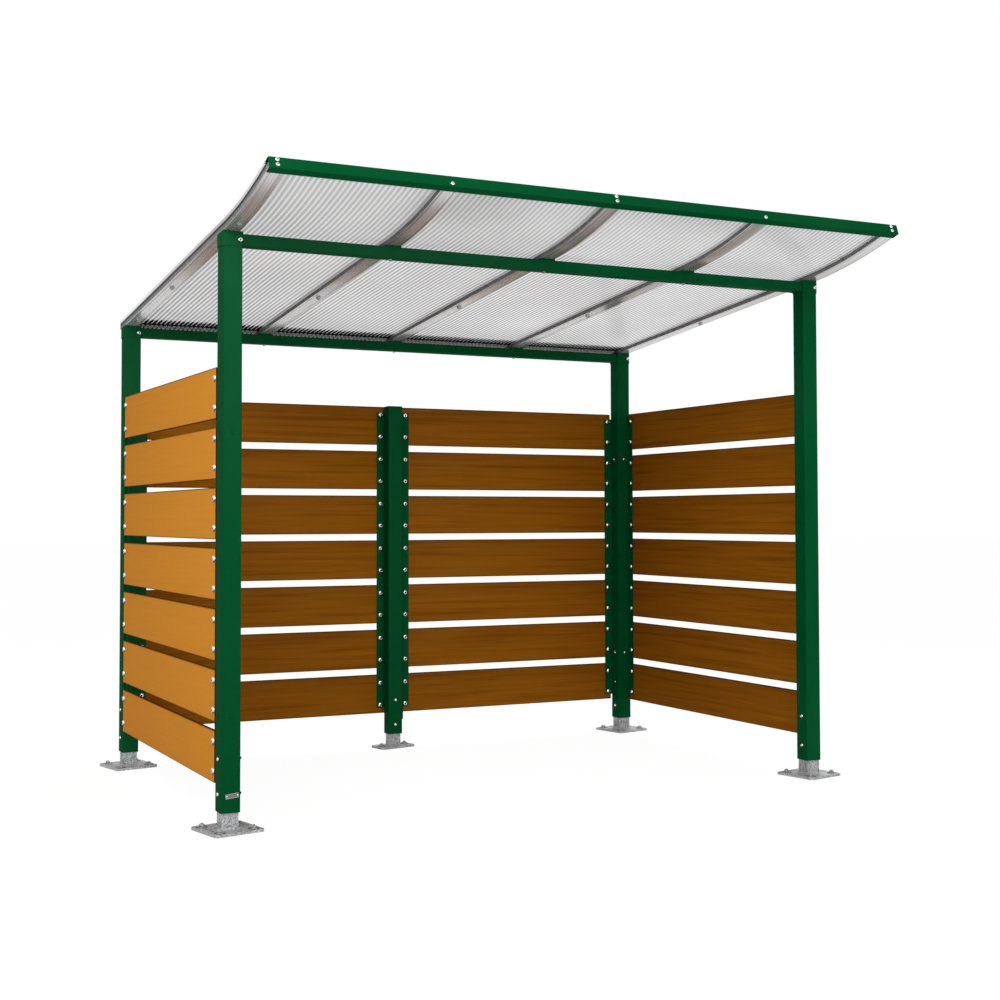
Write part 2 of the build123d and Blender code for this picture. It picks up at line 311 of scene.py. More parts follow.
@dataclass(frozen=True)
class GreenPowderCoat:
    """Glossy moss green powder coat with a faint orange peel."""

    name: str = "green_powder_coat"
    deep: Colour = (0.0003, 0.055, 0.0155)
    plain: Colour = (0.0005, 0.062, 0.0175)
    worn: Colour = (0.0035, 0.073, 0.0200)
    peel_per_metre: float = 380.0

    def make(self) -> Material:
        """Wire the finish.

        Returns:
            The material.
        """
        sheet = ShaderSheet(self.name)
        cloud = sheet.noise(2.2, 4.0)
        speck = sheet.noise(60.0, 6.0)
        colour = sheet.ramp(cloud, ((0.30, self.deep), (0.55, self.plain), (0.78, self.worn)))
        colour = sheet.blend(sheet.between(speck, 0.0, 0.25, 0.55, 0.75), colour, self.worn)
        sheet.coat(colour, sheet.between(speck, 0.32, 0.46))
        sheet.set(specular_ior_level=0.0, coat_weight=0.035, coat_roughness=0.22)
        sheet.relief(sheet.noise(self.peel_per_metre, 2.0), 0.00012, 0.35)
        return sheet.material


@dataclass(frozen=True)
class HotDipZinc:
    """Dull hot-dip zinc with a mottled spangle and dark specks of dirt."""

    name: str = "hot_dip_zinc"
    dark: Colour = (0.075, 0.078, 0.080)
    mid: Colour = (0.31, 0.315, 0.32)
    pale: Colour = (0.70, 0.705, 0.71)
    metallic: float = 0.30

    def make(self) -> Material:
        """Wire the finish.

        Returns:
            The material.
        """
        sheet = ShaderSheet(self.name)
        spangle = sheet.cells(300.0)
        mottle = sheet.noise(230.0, 6.0, distortion=0.6)
        grime_and_shade = sheet.noise(38.0, 8.0)
        tones = (self.dark, self.mid, self.pale)
        colour = sheet.ramp(mottle, zip((0.34, 0.50, 0.66), tones))
        colour = sheet.blend(0.40, colour, sheet.ramp(spangle, zip((0.1, 0.5, 0.9), tones)))
        colour = sheet.blend(sheet.between(grime_and_shade, 0.0, 0.6, 0.56, 0.70), colour, self.dark)
        sheet.coat(colour, sheet.between(mottle, 0.42, 0.68))
        sheet.set(metallic=self.metallic)
        sheet.relief(mottle, 0.0006, 0.5)
        sheet.relief(grime_and_shade, 0.0003, 0.4)
        return sheet.material


@dataclass(frozen=True)
class DrawnAluminium:
    """Mill-finish aluminium with fine lines along the extrusion, and painted reflection over the front posts.
    """

    name: str = "drawn_aluminium"
    base: Colour = (0.40, 0.40, 0.405)
    pale: Colour = (0.79, 0.79, 0.795)
    film_and_painted_reflection: Colour = (0.72, 0.65, 0.61)
    faint_painted_reflection: Colour = (0.86, 0.83, 0.81)
    painted_reflection_reach: tuple[float, float] = (-1.0, 0.6)
    metallic: float = 0.62
    roughness: tuple[float, float] = (0.16, 0.24)

    def make(self) -> Material:
        """Wire the finish.

        Returns:
            The material.
        """
        sheet = ShaderSheet(self.name)
        drawn = sheet.noise(9.0, 3.0, sheet.stretched((30.0, 0.05, 0.05)))
        handled = sheet.noise(7.0, 4.0)
        colour = sheet.blend(sheet.between(drawn, 0.0, 1.0, 0.35, 0.65), self.base, self.pale)
        # Painted reflection and shade: a warm, darker band over the front posts stands in for the boards and
        # beam mirrored in the metal.
        along = sheet.between(sheet.axis(sheet.place, "Y"), 0.0, 1.0, *self.painted_reflection_reach)
        film_and_painted_reflection = sheet.ramp(along, zip((0.0, 0.28, 0.52, 0.85), (WHITE, self.film_and_painted_reflection, self.faint_painted_reflection, WHITE)))
        colour = sheet.blend(1.0, colour, film_and_painted_reflection, "MULTIPLY")
        rough = sheet.math("ADD", sheet.between(drawn, *self.roughness), sheet.between(handled, -0.04, 0.06))
        sheet.coat(colour, rough)
        sheet.set(metallic=self.metallic)
        sheet.relief(drawn, 0.00001, 0.1)
        return sheet.material


@dataclass(frozen=True)
class FlutedSheet:
    """Pale translucent plastic with its flutes showing through as stripes, stronger to the back."""

    name: str = "fluted_sheet"
    bright: Colour = (0.89, 0.89, 0.89)
    shaded: Colour = (0.40, 0.40, 0.405)
    through: float = 0.78
    reach: tuple[float, float] = (-0.90, 0.50)
    depth: tuple[float, float] = (0.42, 1.45)
    tone: tuple[float, float] = (-0.13, 0.03)

    def make(self) -> Material:
        """Wire the finish.

        Returns:
            The material.
        """
        sheet = ShaderSheet(self.name)
        flutes = sheet.mapped(Roof.FLUTE_MAP)
        across, back = sheet.axis(flutes, "X"), sheet.axis(flutes, "Y")
        wave = sheet.math("COSINE", sheet.math("MULTIPLY", across, math.tau))
        second = sheet.math("COSINE", sheet.math("MULTIPLY", across, 2.0 * math.tau))
        lines = sheet.math("ADD", sheet.math("MULTIPLY", wave, 0.42), sheet.math("MULTIPLY", second, 0.10))
        lines = sheet.math("MULTIPLY", lines, sheet.between(back, *self.depth, *self.reach))
        uneven = sheet.between(sheet.noise(1.6, 3.0), 0.34, 0.66)
        tone = sheet.between(back, *self.tone, *self.reach)
        stripe = sheet.math("ADD", lines, sheet.math("ADD", uneven, tone))
        colour = sheet.ramp(stripe, ((0.08, self.shaded), (0.62, self.bright)))
        sheet.coat(colour, sheet.between(sheet.noise(25.0, 4.0), 0.07, 0.13))
        sheet.set(specular_ior_level=0.9)
        sheet.cover(self.through, sheet.node("BsdfTranslucent", {"Color": colour}).outputs["BSDF"])
        return sheet.material


@dataclass(frozen=True)
class MattPatch:
    """A matt, mottled finish for small surfaces.

    Attributes:
        name: Name of the material.
        dark: Darker tone.
        pale: Paler tone.
        grain: Size of the mottle, in features per metre.
    """

    name: str
    dark: Colour
    pale: Colour
    grain: float

    def make(self) -> Material:
        """Wire the finish.

        Returns:
            The material.
        """
        sheet = ShaderSheet(self.name)
        mottle = sheet.noise(self.grain, 6.0)
        colour = sheet.ramp(mottle, ((0.35, self.dark), (0.65, self.pale)))
        sheet.coat(colour, sheet.between(mottle, 0.7, 0.9))
        sheet.set(specular_ior_level=0.08)
        sheet.relief(mottle, 0.0002, 0.4)
        return sheet.material


@dataclass(frozen=True)
class BlackRubber:
    """Matt black rubber with a dusty bloom."""

    name: str = "black_rubber"
    base: Colour = (0.010, 0.010, 0.011)
    dust: Colour = (0.045, 0.044, 0.043)

    def make(self) -> Material:
        """Wire the finish.

        Returns:
            The material.
        """
        sheet = ShaderSheet(self.name)
        bloom = sheet.noise(30.0, 6.0)
        colour = sheet.blend(sheet.between(bloom, 0.0, 1.0, 0.45, 0.8), self.base, self.dust)
        sheet.coat(colour, sheet.between(bloom, 0.5, 0.8))
        sheet.relief(sheet.noise(300.0, 3.0), 0.0001, 0.4)
        return sheet.material


@dataclass(frozen=True)
class WoodFace:
    """Smooth brown board face with a long grain, darker towards its upper edge, and painted shade at both
    edges.

    Attributes:
        name: Name of the material.
        streak: Darkest tone of the grain.
        plain: Middle tone.
        pale: Palest tone.
        contrast: Share of the grain that shows.
        roughness: Least and most roughness.
        rim: Painted shade along the face's lower and upper edges.
        top: Tone of the face's upper part.
    """

    name: str
    streak: Colour
    plain: Colour
    pale: Colour
    contrast: float
    roughness: tuple[float, float] = (0.50, 0.66)
    rim: Colour = (0.16, 0.13, 0.10)
    top: Colour = (0.80, 0.78, 0.74)

    def make(self) -> Material:
        """Wire the finish.

        Returns:
            The material.
        """
        sheet = ShaderSheet(self.name)
        grain = sheet.mapped(BoardWall.GRAIN_MAP)
        height = sheet.axis(sheet.mapped(BoardWall.FACE_MAP), "Y")
        figure = sheet.noise(1.0, 5.0, sheet.stretched((1.5, 58.0, 1.0), grain), 0.35)
        fibre = sheet.noise(1.0, 8.0, sheet.stretched((3.5, 300.0, 1.0), grain), 0.2)
        pores = sheet.noise(1.0, 3.0, sheet.stretched((60.0, 1400.0, 1.0), grain))
        colour = sheet.ramp(figure, ((0.30, self.streak), (0.46, self.plain), (0.80, self.pale)))
        colour = sheet.blend(self.contrast, self.plain, colour)
        fine = sheet.ramp(fibre, ((0.30, (0.72, 0.70, 0.66)), (0.62, WHITE)))
        colour = sheet.blend(self.contrast, colour, fine, "MULTIPLY")
        shade = sheet.ramp(height, ((0.0, WHITE), (0.45, (0.98, 0.97, 0.95)), (1.0, self.top)))
        colour = sheet.blend(self.contrast, colour, shade, "MULTIPLY")
        # Painted shade in thin bands along the board's lower and upper edges.
        rim = sheet.ramp(height, ((0.0, self.rim), (0.026, WHITE), (0.966, WHITE), (1.0, self.rim)))
        colour = sheet.blend(1.0, colour, rim, "MULTIPLY")
        sheet.coat(colour, sheet.between(fibre, *self.roughness))
        sheet.set(specular_ior_level=0.0, coat_weight=0.03, coat_roughness=0.40)
        sheet.relief(fibre, 0.00025, 0.35)
        sheet.relief(pores, 0.00010, 0.25)
        return sheet.material


@dataclass(frozen=True)
class BoardEdge:
    """Sawn and sealed edge of a board, its dark tone partly painted shade."""

    name: str = "board_edge"
    dark: Colour = (0.026, 0.011, 0.003)
    pale: Colour = (0.070, 0.030, 0.007)

    def make(self) -> Material:
        """Wire the finish.

        Returns:
            The material.
        """
        sheet = ShaderSheet(self.name)
        layers = sheet.noise(30.0, 6.0, sheet.stretched((3.0, 3.0, 20.0)))
        colour = sheet.ramp(layers, ((0.35, self.dark), (0.65, self.pale)))
        sheet.coat(colour, sheet.between(layers, 0.5, 0.7))
        sheet.set(specular_ior_level=0.0, coat_weight=0.02, coat_roughness=0.40)
        sheet.relief(layers, 0.0002, 0.5)
        return sheet.material


@dataclass(frozen=True)
class BrightSteel:
    """Bright stainless steel with faint handling marks, and painted shade where a head's dome turns down."""

    name: str = "bright_steel"
    base: Colour = (0.78, 0.78, 0.78)
    marked: Colour = (0.36, 0.358, 0.355)
    painted_underside_shade: Colour = (0.035, 0.034, 0.033)
    roughness: tuple[float, float] = (0.20, 0.30)

    def make(self) -> Material:
        """Wire the finish.

        Returns:
            The material.
        """
        sheet = ShaderSheet(self.name)
        marks = sheet.noise(420.0, 4.0)
        # Painted shade: faces whose normals turn downwards blend to the near-black tone.
        grime_and_shade = sheet.between(sheet.axis(sheet.normal, "Z"), 0.92, 0.0, -0.42, -0.06)
        colour = sheet.blend(sheet.between(marks, 0.0, 0.3, 0.5, 0.8), self.base, self.marked)
        colour = sheet.blend(grime_and_shade, colour, self.painted_underside_shade)
        sheet.coat(colour, sheet.between(marks, *self.roughness))
        sheet.set(metallic=1.0)
        return sheet.material


@dataclass(frozen=True)
class SocketShadow:
    """Painted shadow inside a bolt's drive socket, with oily patches."""

    name: str = "socket_shadow"
    base: Colour = (0.006, 0.006, 0.006)
    film_and_painted_reflection: Colour = (0.020, 0.019, 0.018)

    def make(self) -> Material:
        """Wire the finish.

        Returns:
            The material.
        """
        sheet = ShaderSheet(self.name)
        film_and_painted_reflection = sheet.noise(900.0, 2.0)
        sheet.coat(sheet.blend(film_and_painted_reflection, self.base, self.film_and_painted_reflection), sheet.between(film_and_painted_reflection, 0.55, 0.8))
        sheet.set(specular_ior_level=0.1)
        return sheet.material


@dataclass
class Finishes:
    """Every finish on the shelter, made once.

    Attributes:
        paint: Powder coat of the frame.
        zinc: Feet, anchors and hanger bolts.
        aluminium: Ribs, rib caps and the bare plate.
        roof: Fluted sheets.
        rubber: Seals, trim and end plugs.
        steel: Bolts and screws.
        socket: Insides of bolt heads, and dark holes, in painted shadow.
        grime_and_shade: Painted shade in the flutes' back ends, and painted shadow round the anchors' washers
            and nuts.
        flute_plug: Plugs at the back ends of the flutes.
        rib_side_painted_shade: Sides and tops of the ribs, a darker matt copy of the aluminium as painted
            shade.
        plate_field: Middle of the bare plate.
        board_edge: Edges of the boards, partly in painted shade.
        board_out: Boards' outer faces.
        board_in_painted_shade: Boards' inner faces, a darker copy of the outer wood as painted shade.
    """

    paint: Material = field(default_factory=GreenPowderCoat().make)
    zinc: Material = field(default_factory=HotDipZinc().make)
    aluminium: Material = field(default_factory=DrawnAluminium().make)
    roof: Material = field(default_factory=FlutedSheet().make)
    rubber: Material = field(default_factory=BlackRubber().make)
    steel: Material = field(default_factory=BrightSteel().make)
    socket: Material = field(default_factory=SocketShadow().make)
    # Near-black matt patch: painted shade in the flutes and painted shadow round the anchors.
    grime_and_shade: Material = field(
        default_factory=MattPatch("black_painted_shade", (0.002, 0.002, 0.002), (0.008, 0.007, 0.007), 90.0).make
    )
    flute_plug: Material = field(
        default_factory=MattPatch("flute_plug", (0.42, 0.42, 0.42), (0.66, 0.66, 0.655), 140.0).make
    )
    # Painted shade: a darker matt copy of the aluminium for the ribs' sides and tops.
    rib_side_painted_shade: Material = field(
        default_factory=MattPatch("painted_rib_side_shade", (0.13, 0.13, 0.132), (0.22, 0.22, 0.224), 60.0).make
    )
    plate_field: Material = field(
        default_factory=MattPatch("plate_field", (0.10, 0.105, 0.10), (0.22, 0.225, 0.22), 600.0).make
    )
    board_edge: Material = field(default_factory=BoardEdge().make)
    board_out: Material = field(
        default_factory=WoodFace(
            "board_outside", (0.520, 0.200, 0.021), (0.565, 0.224, 0.026), (0.605, 0.245, 0.031), 0.26
        ).make
    )
    # The inner faces take a darker copy of the outer wood: painted shade.
    board_in_painted_shade: Material = field(
        default_factory=WoodFace(
            "board_inside_painted_shade", (0.172, 0.056, 0.002), (0.243, 0.083, 0.004), (0.292, 0.102, 0.006), 0.90
        ).make
    )


# Drawing meshes


def bands(rings: int, count: int) -> list[Face]:
    """Faces between neighbouring rings of corners.

    Args:
        rings: Number of rings.
        count: Corners in a ring.

    Returns:
        The faces of one band after another, numbered from the first ring's first corner.
    """
    return [
        (low + i, low + (i + 1) % count, low + count + (i + 1) % count, low + count + i)
        for low in range(0, (rings - 1) * count, count)
        for i in range(count)
    ]


def ends(rings: int, count: int) -> list[Face]:
    """Faces that close the first and the last ring of corners."""
    last = (rings - 1) * count
    return [tuple(range(count - 1, -1, -1)), tuple(range(last, last + count))]


@dataclass
class Draft:
    """Corners and faces of one piece while it is drawn.

    Attributes:
        corners: Points in the row frame.
        faces: Corner numbers of each face.
        skins: Which of the piece's finishes each face takes.
    """

    corners: list[Vector] = field(default_factory=list)
    faces: list[Face] = field(default_factory=list)
    skins: list[int] = field(default_factory=list)

    def add(self, corners: Iterable[Vector], faces: Iterable[Face], skin: int = 0) -> None:
        """Append a patch.

        Args:
            corners: The patch's points.
            faces: Its faces, numbered from its own first point.
            skin: Finish of all its faces.
        """
        start = len(self.corners)
        self.corners.extend(corners)
        for face in faces:
            self.faces.append(tuple(start + i for i in face))
            self.skins.append(skin)

    def stamp(self, other: "Draft", place: Matrix) -> None:
        """Append a copy of another draft.

        Args:
            other: The draft to copy.
            place: Where it goes.
        """
        start = len(self.corners)
        self.corners.extend(place @ corner for corner in other.corners)
        self.faces.extend(tuple(start + i for i in face) for face in other.faces)
        self.skins.extend(other.skins)

    def turned(
        self, rings: Sequence[tuple[float, float, RingShape]], sides: int = 24, dark_from: int | None = None
    ) -> "Draft":
        """Append a part turned about Z, closed at its first and last ring.

        Args:
            rings: Radius, height and outline of each ring, from the bottom up and on to the middle.
            sides: Steps round the part; a multiple of six for a hexagon.
            dark_from: Ring from which faces take the second finish.

        Returns:
            This draft.
        """
        corners: list[Vector] = []
        for radius, height, shape in rings:
            for step in range(sides):
                angle = math.tau * step / sides
                reach = radius
                if shape is RingShape.HEX:
                    reach = radius / math.cos((angle + math.pi / 6) % (math.pi / 3) - math.pi / 6)
                corners.append(Vector((reach * math.cos(angle), reach * math.sin(angle), height)))
        self.add(corners, bands(len(rings), sides) + ends(len(rings), sides))
        if dark_from is not None:
            lit = (len(rings) - 1 - dark_from) * sides
            self.skins[-lit - 2 :] = [1] * lit + [0, 1]
        return self

    def swept(
        self,
        section: Sequence[Point],
        stations: Sequence["Station"],
        skin_at: Callable[[int, int], int] = lambda step, side: 0,
    ) -> None:
        """Append a closed section carried along the roof, with both ends closed.

        Args:
            section: X and height over the ribs' underside of each corner, anticlockwise from the front.
            stations: Places along the roof, from the back to the front.
            skin_at: Finish of the face at a step along the roof and a side of the section.
        """
        count = len(section)
        corners = [station.lift(x, height) for station in stations for x, height in section]
        first = len(self.skins)
        self.add(corners, bands(len(stations), count) + ends(len(stations), count))
        steps = range(len(stations) - 1)
        skins = [skin_at(step, side) for step in steps for side in range(count)]
        self.skins[first : first + len(skins)] = skins

    def piece(
        self, name: str, finishes: Sequence[Material], slot: Slot, sharp: float = 35.0
    ) -> bpy.types.Object:
        """Make the drafted piece, on the shelter's body.

        Args:
            name: Name of the piece.
            finishes: Materials, in the order of the skins.
            slot: The record's slot for the piece's finish; not used.
            sharp: Angle in degrees from which an edge stays sharp.

        Returns:
            The new object.
        """
        mesh = bpy.data.meshes.new(name)
        mesh.from_pydata([tuple(corner) for corner in self.corners], [], self.faces)
        for finish in finishes:
            mesh.materials.append(finish)
        mesh.polygons.foreach_set("material_index", self.skins)
        mesh.polygons.foreach_set("use_smooth", [True] * len(mesh.polygons))
        mesh.update()
        mesh.set_sharp_from_angle(angle=math.radians(sharp))
        made = bpy.data.objects.new(name, mesh)
        bpy.context.scene.collection.objects.link(made)
        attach(made, ROOT_BODY)
        LOG.info("piece %s: %d faces", name, len(mesh.polygons))
        return made


def middle_of(node: str) -> Vector:
    """Middle of a CAD node's box."""
    low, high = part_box(node)
    return (low + high) / 2


def facing(point: Vector, direction: Vector, spin: float = 0.0) -> Matrix:
    """A place for a part whose own axis is Z.

    Args:
        point: Where its base goes.
        direction: Where its top points.
        spin: Turn about its own axis, in radians.

    Returns:
        The matrix.
    """
    turn = direction.normalized().to_track_quat("Z", "Y").to_matrix().to_4x4()
    return Matrix.Translation(point) @ turn @ Matrix.Rotation(spin, 4, "Z")


def dress_node(name: str, finish: Material, rounding: float) -> None:
    """Give a CAD node its finish, softened edges and shading to suit.

    Args:
        name: The node.
        finish: Its material.
        rounding: Width of the softened edges, in metres.
    """
    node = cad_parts[name]
    mesh = node.data
    mesh.materials.clear()
    mesh.materials.append(finish)
    if "custom_normal" in mesh.attributes:
        mesh.attributes.remove(mesh.attributes["custom_normal"])
    mesh.polygons.foreach_set("use_smooth", [True] * len(mesh.polygons))
    weld = node.modifiers.new("join", "WELD")
    weld.merge_threshold = JOIN_REACH
    bevel = node.modifiers.new("soften", "BEVEL")
    bevel.width = rounding
    bevel.segments = 2
    bevel.limit_method = "ANGLE"
    bevel.angle_limit = SOFTEN_FROM
    node.modifiers.new("flatten", "WEIGHTED_NORMAL")
    LOG.info("node %s: %s", name, finish.name)


# The roof's line


@dataclass(frozen=True)
class Station:
    """One place along the roof: a point on the ribs' underside and the slope there.

    Attributes:
        y: Place from front to back.
        z: Height of the underside.
        angle: Slope, in radians, falling to the back.
    """

    y: float
    z: float
    angle: float

    @property
    def up(self) -> Vector:
        """Direction out of the roof's top."""
        return self.lift(0.0, 1.0) - self.lift(0.0, 0.0)

    def lift(self, x: float, height: float) -> Vector:
        """Point at x, at a height above the underside."""
        return Vector((x, self.y + height * math.sin(self.angle), self.z + height * math.cos(self.angle)))


@dataclass(frozen=True)
class RoofLine:
    """Side view of the ribs' underside: straight over the posts, then curving up to the front.

    Attributes:
        front_face: Y of the posts' front faces.
        depth: Posts' front faces to their back faces.
        seat: Height of the underside at the posts' front faces.
        pitch: Slope of the straight part.
        arc_start: How far behind the front faces the arc starts.
        radius: Radius of the arc, hollow side up.
        sweep: Angle of the arc.
        back_overhang: How far the roof passes the posts' back faces.
    """

    front_face: float
    depth: float = 1.552
    seat: float = 2.065
    pitch: float = math.radians(6.0)
    arc_start: float = 0.015
    radius: float = 2.262
    sweep: float = math.radians(13.35)
    back_overhang: float = 0.021

    @property
    def back_run(self) -> float:
        """Length of the straight part."""
        return (self.depth + self.back_overhang - self.arc_start) / math.cos(self.pitch)

    @property
    def front_run(self) -> float:
        """Length of the arc."""
        return self.radius * self.sweep

    def at(self, run: float) -> Station:
        """The place a run along the underside.

        Args:
            run: Length from the start of the arc, negative to the back.

        Returns:
            The place.
        """
        angle = self.pitch + max(run, 0.0) / self.radius
        back = min(run, 0.0)
        centre_y = self.front_face + self.arc_start + self.radius * math.sin(self.pitch)
        centre_z = self.seat - self.arc_start * math.tan(self.pitch) + self.radius * math.cos(self.pitch)
        y = centre_y - self.radius * math.sin(angle) - back * math.cos(self.pitch)
        z = centre_z - self.radius * math.cos(angle) + back * math.sin(self.pitch)
        return Station(y, z, angle)

    def between(self, start: float, end: float, arc_steps: int = 22) -> list[Station]:
        """Stations from one run to another, close together on the arc.

        Args:
            start: Run of the back end.
            end: Run of the front end.
            arc_steps: Steps on the arc.

        Returns:
            The stations, from back to front.
        """
        runs = [start] if start < 0.0 else []
        first = max(start, 0.0)
        runs += [first + (end - first) * step / arc_steps for step in range(arc_steps + 1)]
        return [self.at(run) for run in runs]


# Sub-assemblies


@dataclass(frozen=True)
class Bolt:
    """A domed bolt head with a hexagon socket.

    Attributes:
        radius: Radius of the head.
        height: Height of the dome.
        socket: Half the socket's width across flats.
        sides: Steps round the head.
    """

    radius: float
    height: float
    socket: float
    sides: int = 24

    def draft(self) -> Draft:
        """Draw one head, standing on Z 0.

        Returns:
            The draft, with the socket in the second skin.
        """
        r, h, s = self.radius, self.height, self.socket
        dome = ((1.0, 0.10), (0.98, 0.22), (0.90, 0.48), (0.76, 0.74), (0.60, 0.91))
        rings = RingShape.ROUND.rings((r * 0.97, -0.0003), *((r * wide, h * level) for wide, level in dome))
        rings += RingShape.ROUND.rings((s * 1.22, h))
        rings += RingShape.HEX.rings((s, h * 0.97), (s * 0.97, h * 0.35))
        rings += RingShape.ROUND.rings((s * 0.30, h * 0.28))
        return Draft().turned(rings, self.sides, dark_from=7)


@dataclass
class BoltSet:
    """Like bolts gathered into one piece.

    Attributes:
        bolt: The bolt.
        seed: Seed of the random turns of the heads.
        drawn: The heads put so far.
    """

    bolt: Bolt
    seed: int
    drawn: Draft = field(default_factory=Draft)

    def __post_init__(self) -> None:
        """Draw the head once and start its random turns."""
        self.head = self.bolt.draft()
        self.turns = random.Random(self.seed)

    def put(self, point: Vector, direction: Vector) -> None:
        """Add one head at a point, its top facing a direction."""
        self.drawn.stamp(self.head, facing(point, direction, self.turns.uniform(0.0, math.tau)))


@dataclass
class PaintedFrame:
    """Posts, caps, beams, fascia and brackets, all in green powder coat.

    Attributes:
        finish: The finishes.
        posts: Width of the posts' softened edges.
        caps: The same of the caps.
        rails: The same of the beams and the fascia.
        sheets: The same of the brackets and the flat plate.
    """

    finish: Finishes
    posts: float = 0.0008
    caps: float = 0.0006
    rails: float = 0.0012
    sheets: float = 0.0004

    def build(self) -> None:
        """Dress every painted node."""
        groups = (
            (self.posts, [f"{corner}_post" for corner in (*CORNERS, "middle")]),
            (self.caps, [f"{corner}_cap" for corner in CORNERS]),
            (self.rails, ["front_beam", "back_beam", "fascia"]),
            (self.sheets, [*(f"{corner}_bracket" for corner in CORNERS), "middle_plate"]),
        )
        for rounding, names in groups:
            for name in names:
                dress_node(name, self.finish.paint, rounding)


@dataclass
class Feet:
    """Zinc feet with their welds, anchor nuts, washers and studs.

    Attributes:
        finish: The finishes.
        plate: Thickness of the plates.
        turn: Turn of the plates' anchors about their posts.
        spacing: Distance between anchors.
        tube: Half width and half depth of the corner tubes.
        middle_tube: The same of the middle tube.
        rounding: Width of the softened edges.
        weld_reach: How far the welds reach over the plate.
        weld_rise: How far they rise up the tube.
        weld_face: Share of the reach, and height, of the corners on a weld's face.
        bite: How far the welds' roots stand in the tube.
        sink: How far they stand in the plate.
    """

    finish: Finishes
    plate: float = 0.010
    turn: float = math.radians(12.0)
    spacing: float = 0.130
    tube: Point = (0.0297, 0.0297)
    middle_tube: Point = (0.0297, 0.018)
    rounding: float = 0.0010
    weld_reach: float = 0.0052
    weld_rise: float = 0.0056
    weld_face: tuple[Point, ...] = ((0.72, 0.0022), (0.30, 0.0042))
    bite: float = 0.0006
    sink: float = 0.0003

    def build(self) -> None:
        """Dress the feet and add what holds them down."""
        anchors = Draft()
        anchor = self.anchor()
        turns = random.Random(11)
        half = self.spacing / 2
        feet = [(corner, self.tube, (-half, half)) for corner in CORNERS]
        for foot, tube, rows in (*feet, ("middle", self.middle_tube, (0.0,))):
            middle = middle_of(f"{foot}_foot")
            centre = Vector((middle.x, middle.y, self.plate))
            dress_node(f"{foot}_foot", self.finish.zinc, self.rounding)
            self.weld(f"{foot}_weld", centre, tube)
            for x in (-half, half):
                for y in rows:
                    offset = Matrix.Rotation(self.turn, 3, "Z") @ Vector((x, y, 0.0))
                    anchors.stamp(anchor, facing(centre + offset, UP, turns.uniform(0.0, math.tau)))
        anchors.piece("anchor_nuts", [self.finish.zinc, self.finish.grime_and_shade], Slot.GALVANISED)

    def anchor(self) -> Draft:
        """Draw a broad washer and a low nut with the end of its stud, each on a disc of painted shadow.

        Returns:
            The draft, standing on Z 0.
        """
        circle, hexagon = RingShape.ROUND.rings, RingShape.HEX.rings
        washer = circle((0.0152, 0.0002), (0.0155, 0.0010), (0.0150, 0.0028), (0.0134, 0.0031))
        nut = circle((0.0082, 0.0030)) + hexagon((0.0088, 0.0036), (0.0088, 0.0092))
        nut += circle((0.0080, 0.0102), (0.0056, 0.0104))
        thread = circle((0.0048, 0.0098), (0.0052, 0.0110), (0.0048, 0.0118), (0.0052, 0.0126))
        tip = circle((0.0040, 0.0136), (0.0012, 0.0137))
        drawn = Draft()
        # A wider dark disc under the washer: painted shadow round it.
        drawn.turned(circle((0.0196, -0.0002), (0.0192, 0.0003)), dark_from=0)
        drawn.turned(washer)
        # A dark disc on the washer round the nut: painted shadow.
        drawn.turned(circle((0.0122, 0.0030), (0.0118, 0.0034)), dark_from=0)
        drawn.turned(nut)
        drawn.turned(thread + tip, sides=18)
        return drawn

    def weld(self, name: str, centre: Vector, half: Point, beads: int = 18) -> None:
        """Draw a lumpy fillet weld round a tube.

        Args:
            name: Name of the piece.
            centre: Middle of the tube, on the plate.
            half: Half the tube's width and depth.
            beads: Steps along each side.
        """
        corners: list[Vector] = []
        low = Vector((0.0, 0.0, -self.sink))
        for out_x, out_y in ((0, -1), (1, 0), (0, 1), (-1, 0)):
            out, run = Vector((out_x, out_y, 0.0)), Vector((-out_y, out_x, 0.0))
            reach, length = half if out_x else half[::-1]
            for step in range(beads):
                spot = centre + out * reach + run * (-length + 2 * length * step / beads)
                lump = 1.0 + 0.22 * math.sin(step * 2.4) + 0.25 * noise.noise(spot * 180.0)
                lean = (out - run).normalized() if step == 0 else out
                wide = self.weld_reach * lump * (1.25 if step == 0 else 1.0)
                root = spot - out * self.bite
                corners += [root + low, spot + lean * wide + low]
                corners += [spot + lean * wide * share + UP * (rise * lump) for share, rise in self.weld_face]
                corners.append(root + UP * (self.weld_rise * lump))
        rings = 4 * beads
        faces = [tuple(i % len(corners) for i in face) for face in bands(rings + 1, len(corners) // rings)]
        drawn = Draft()
        drawn.add(corners, faces)
        drawn.piece(name, [self.finish.zinc], Slot.GALVANISED, sharp=60.0)


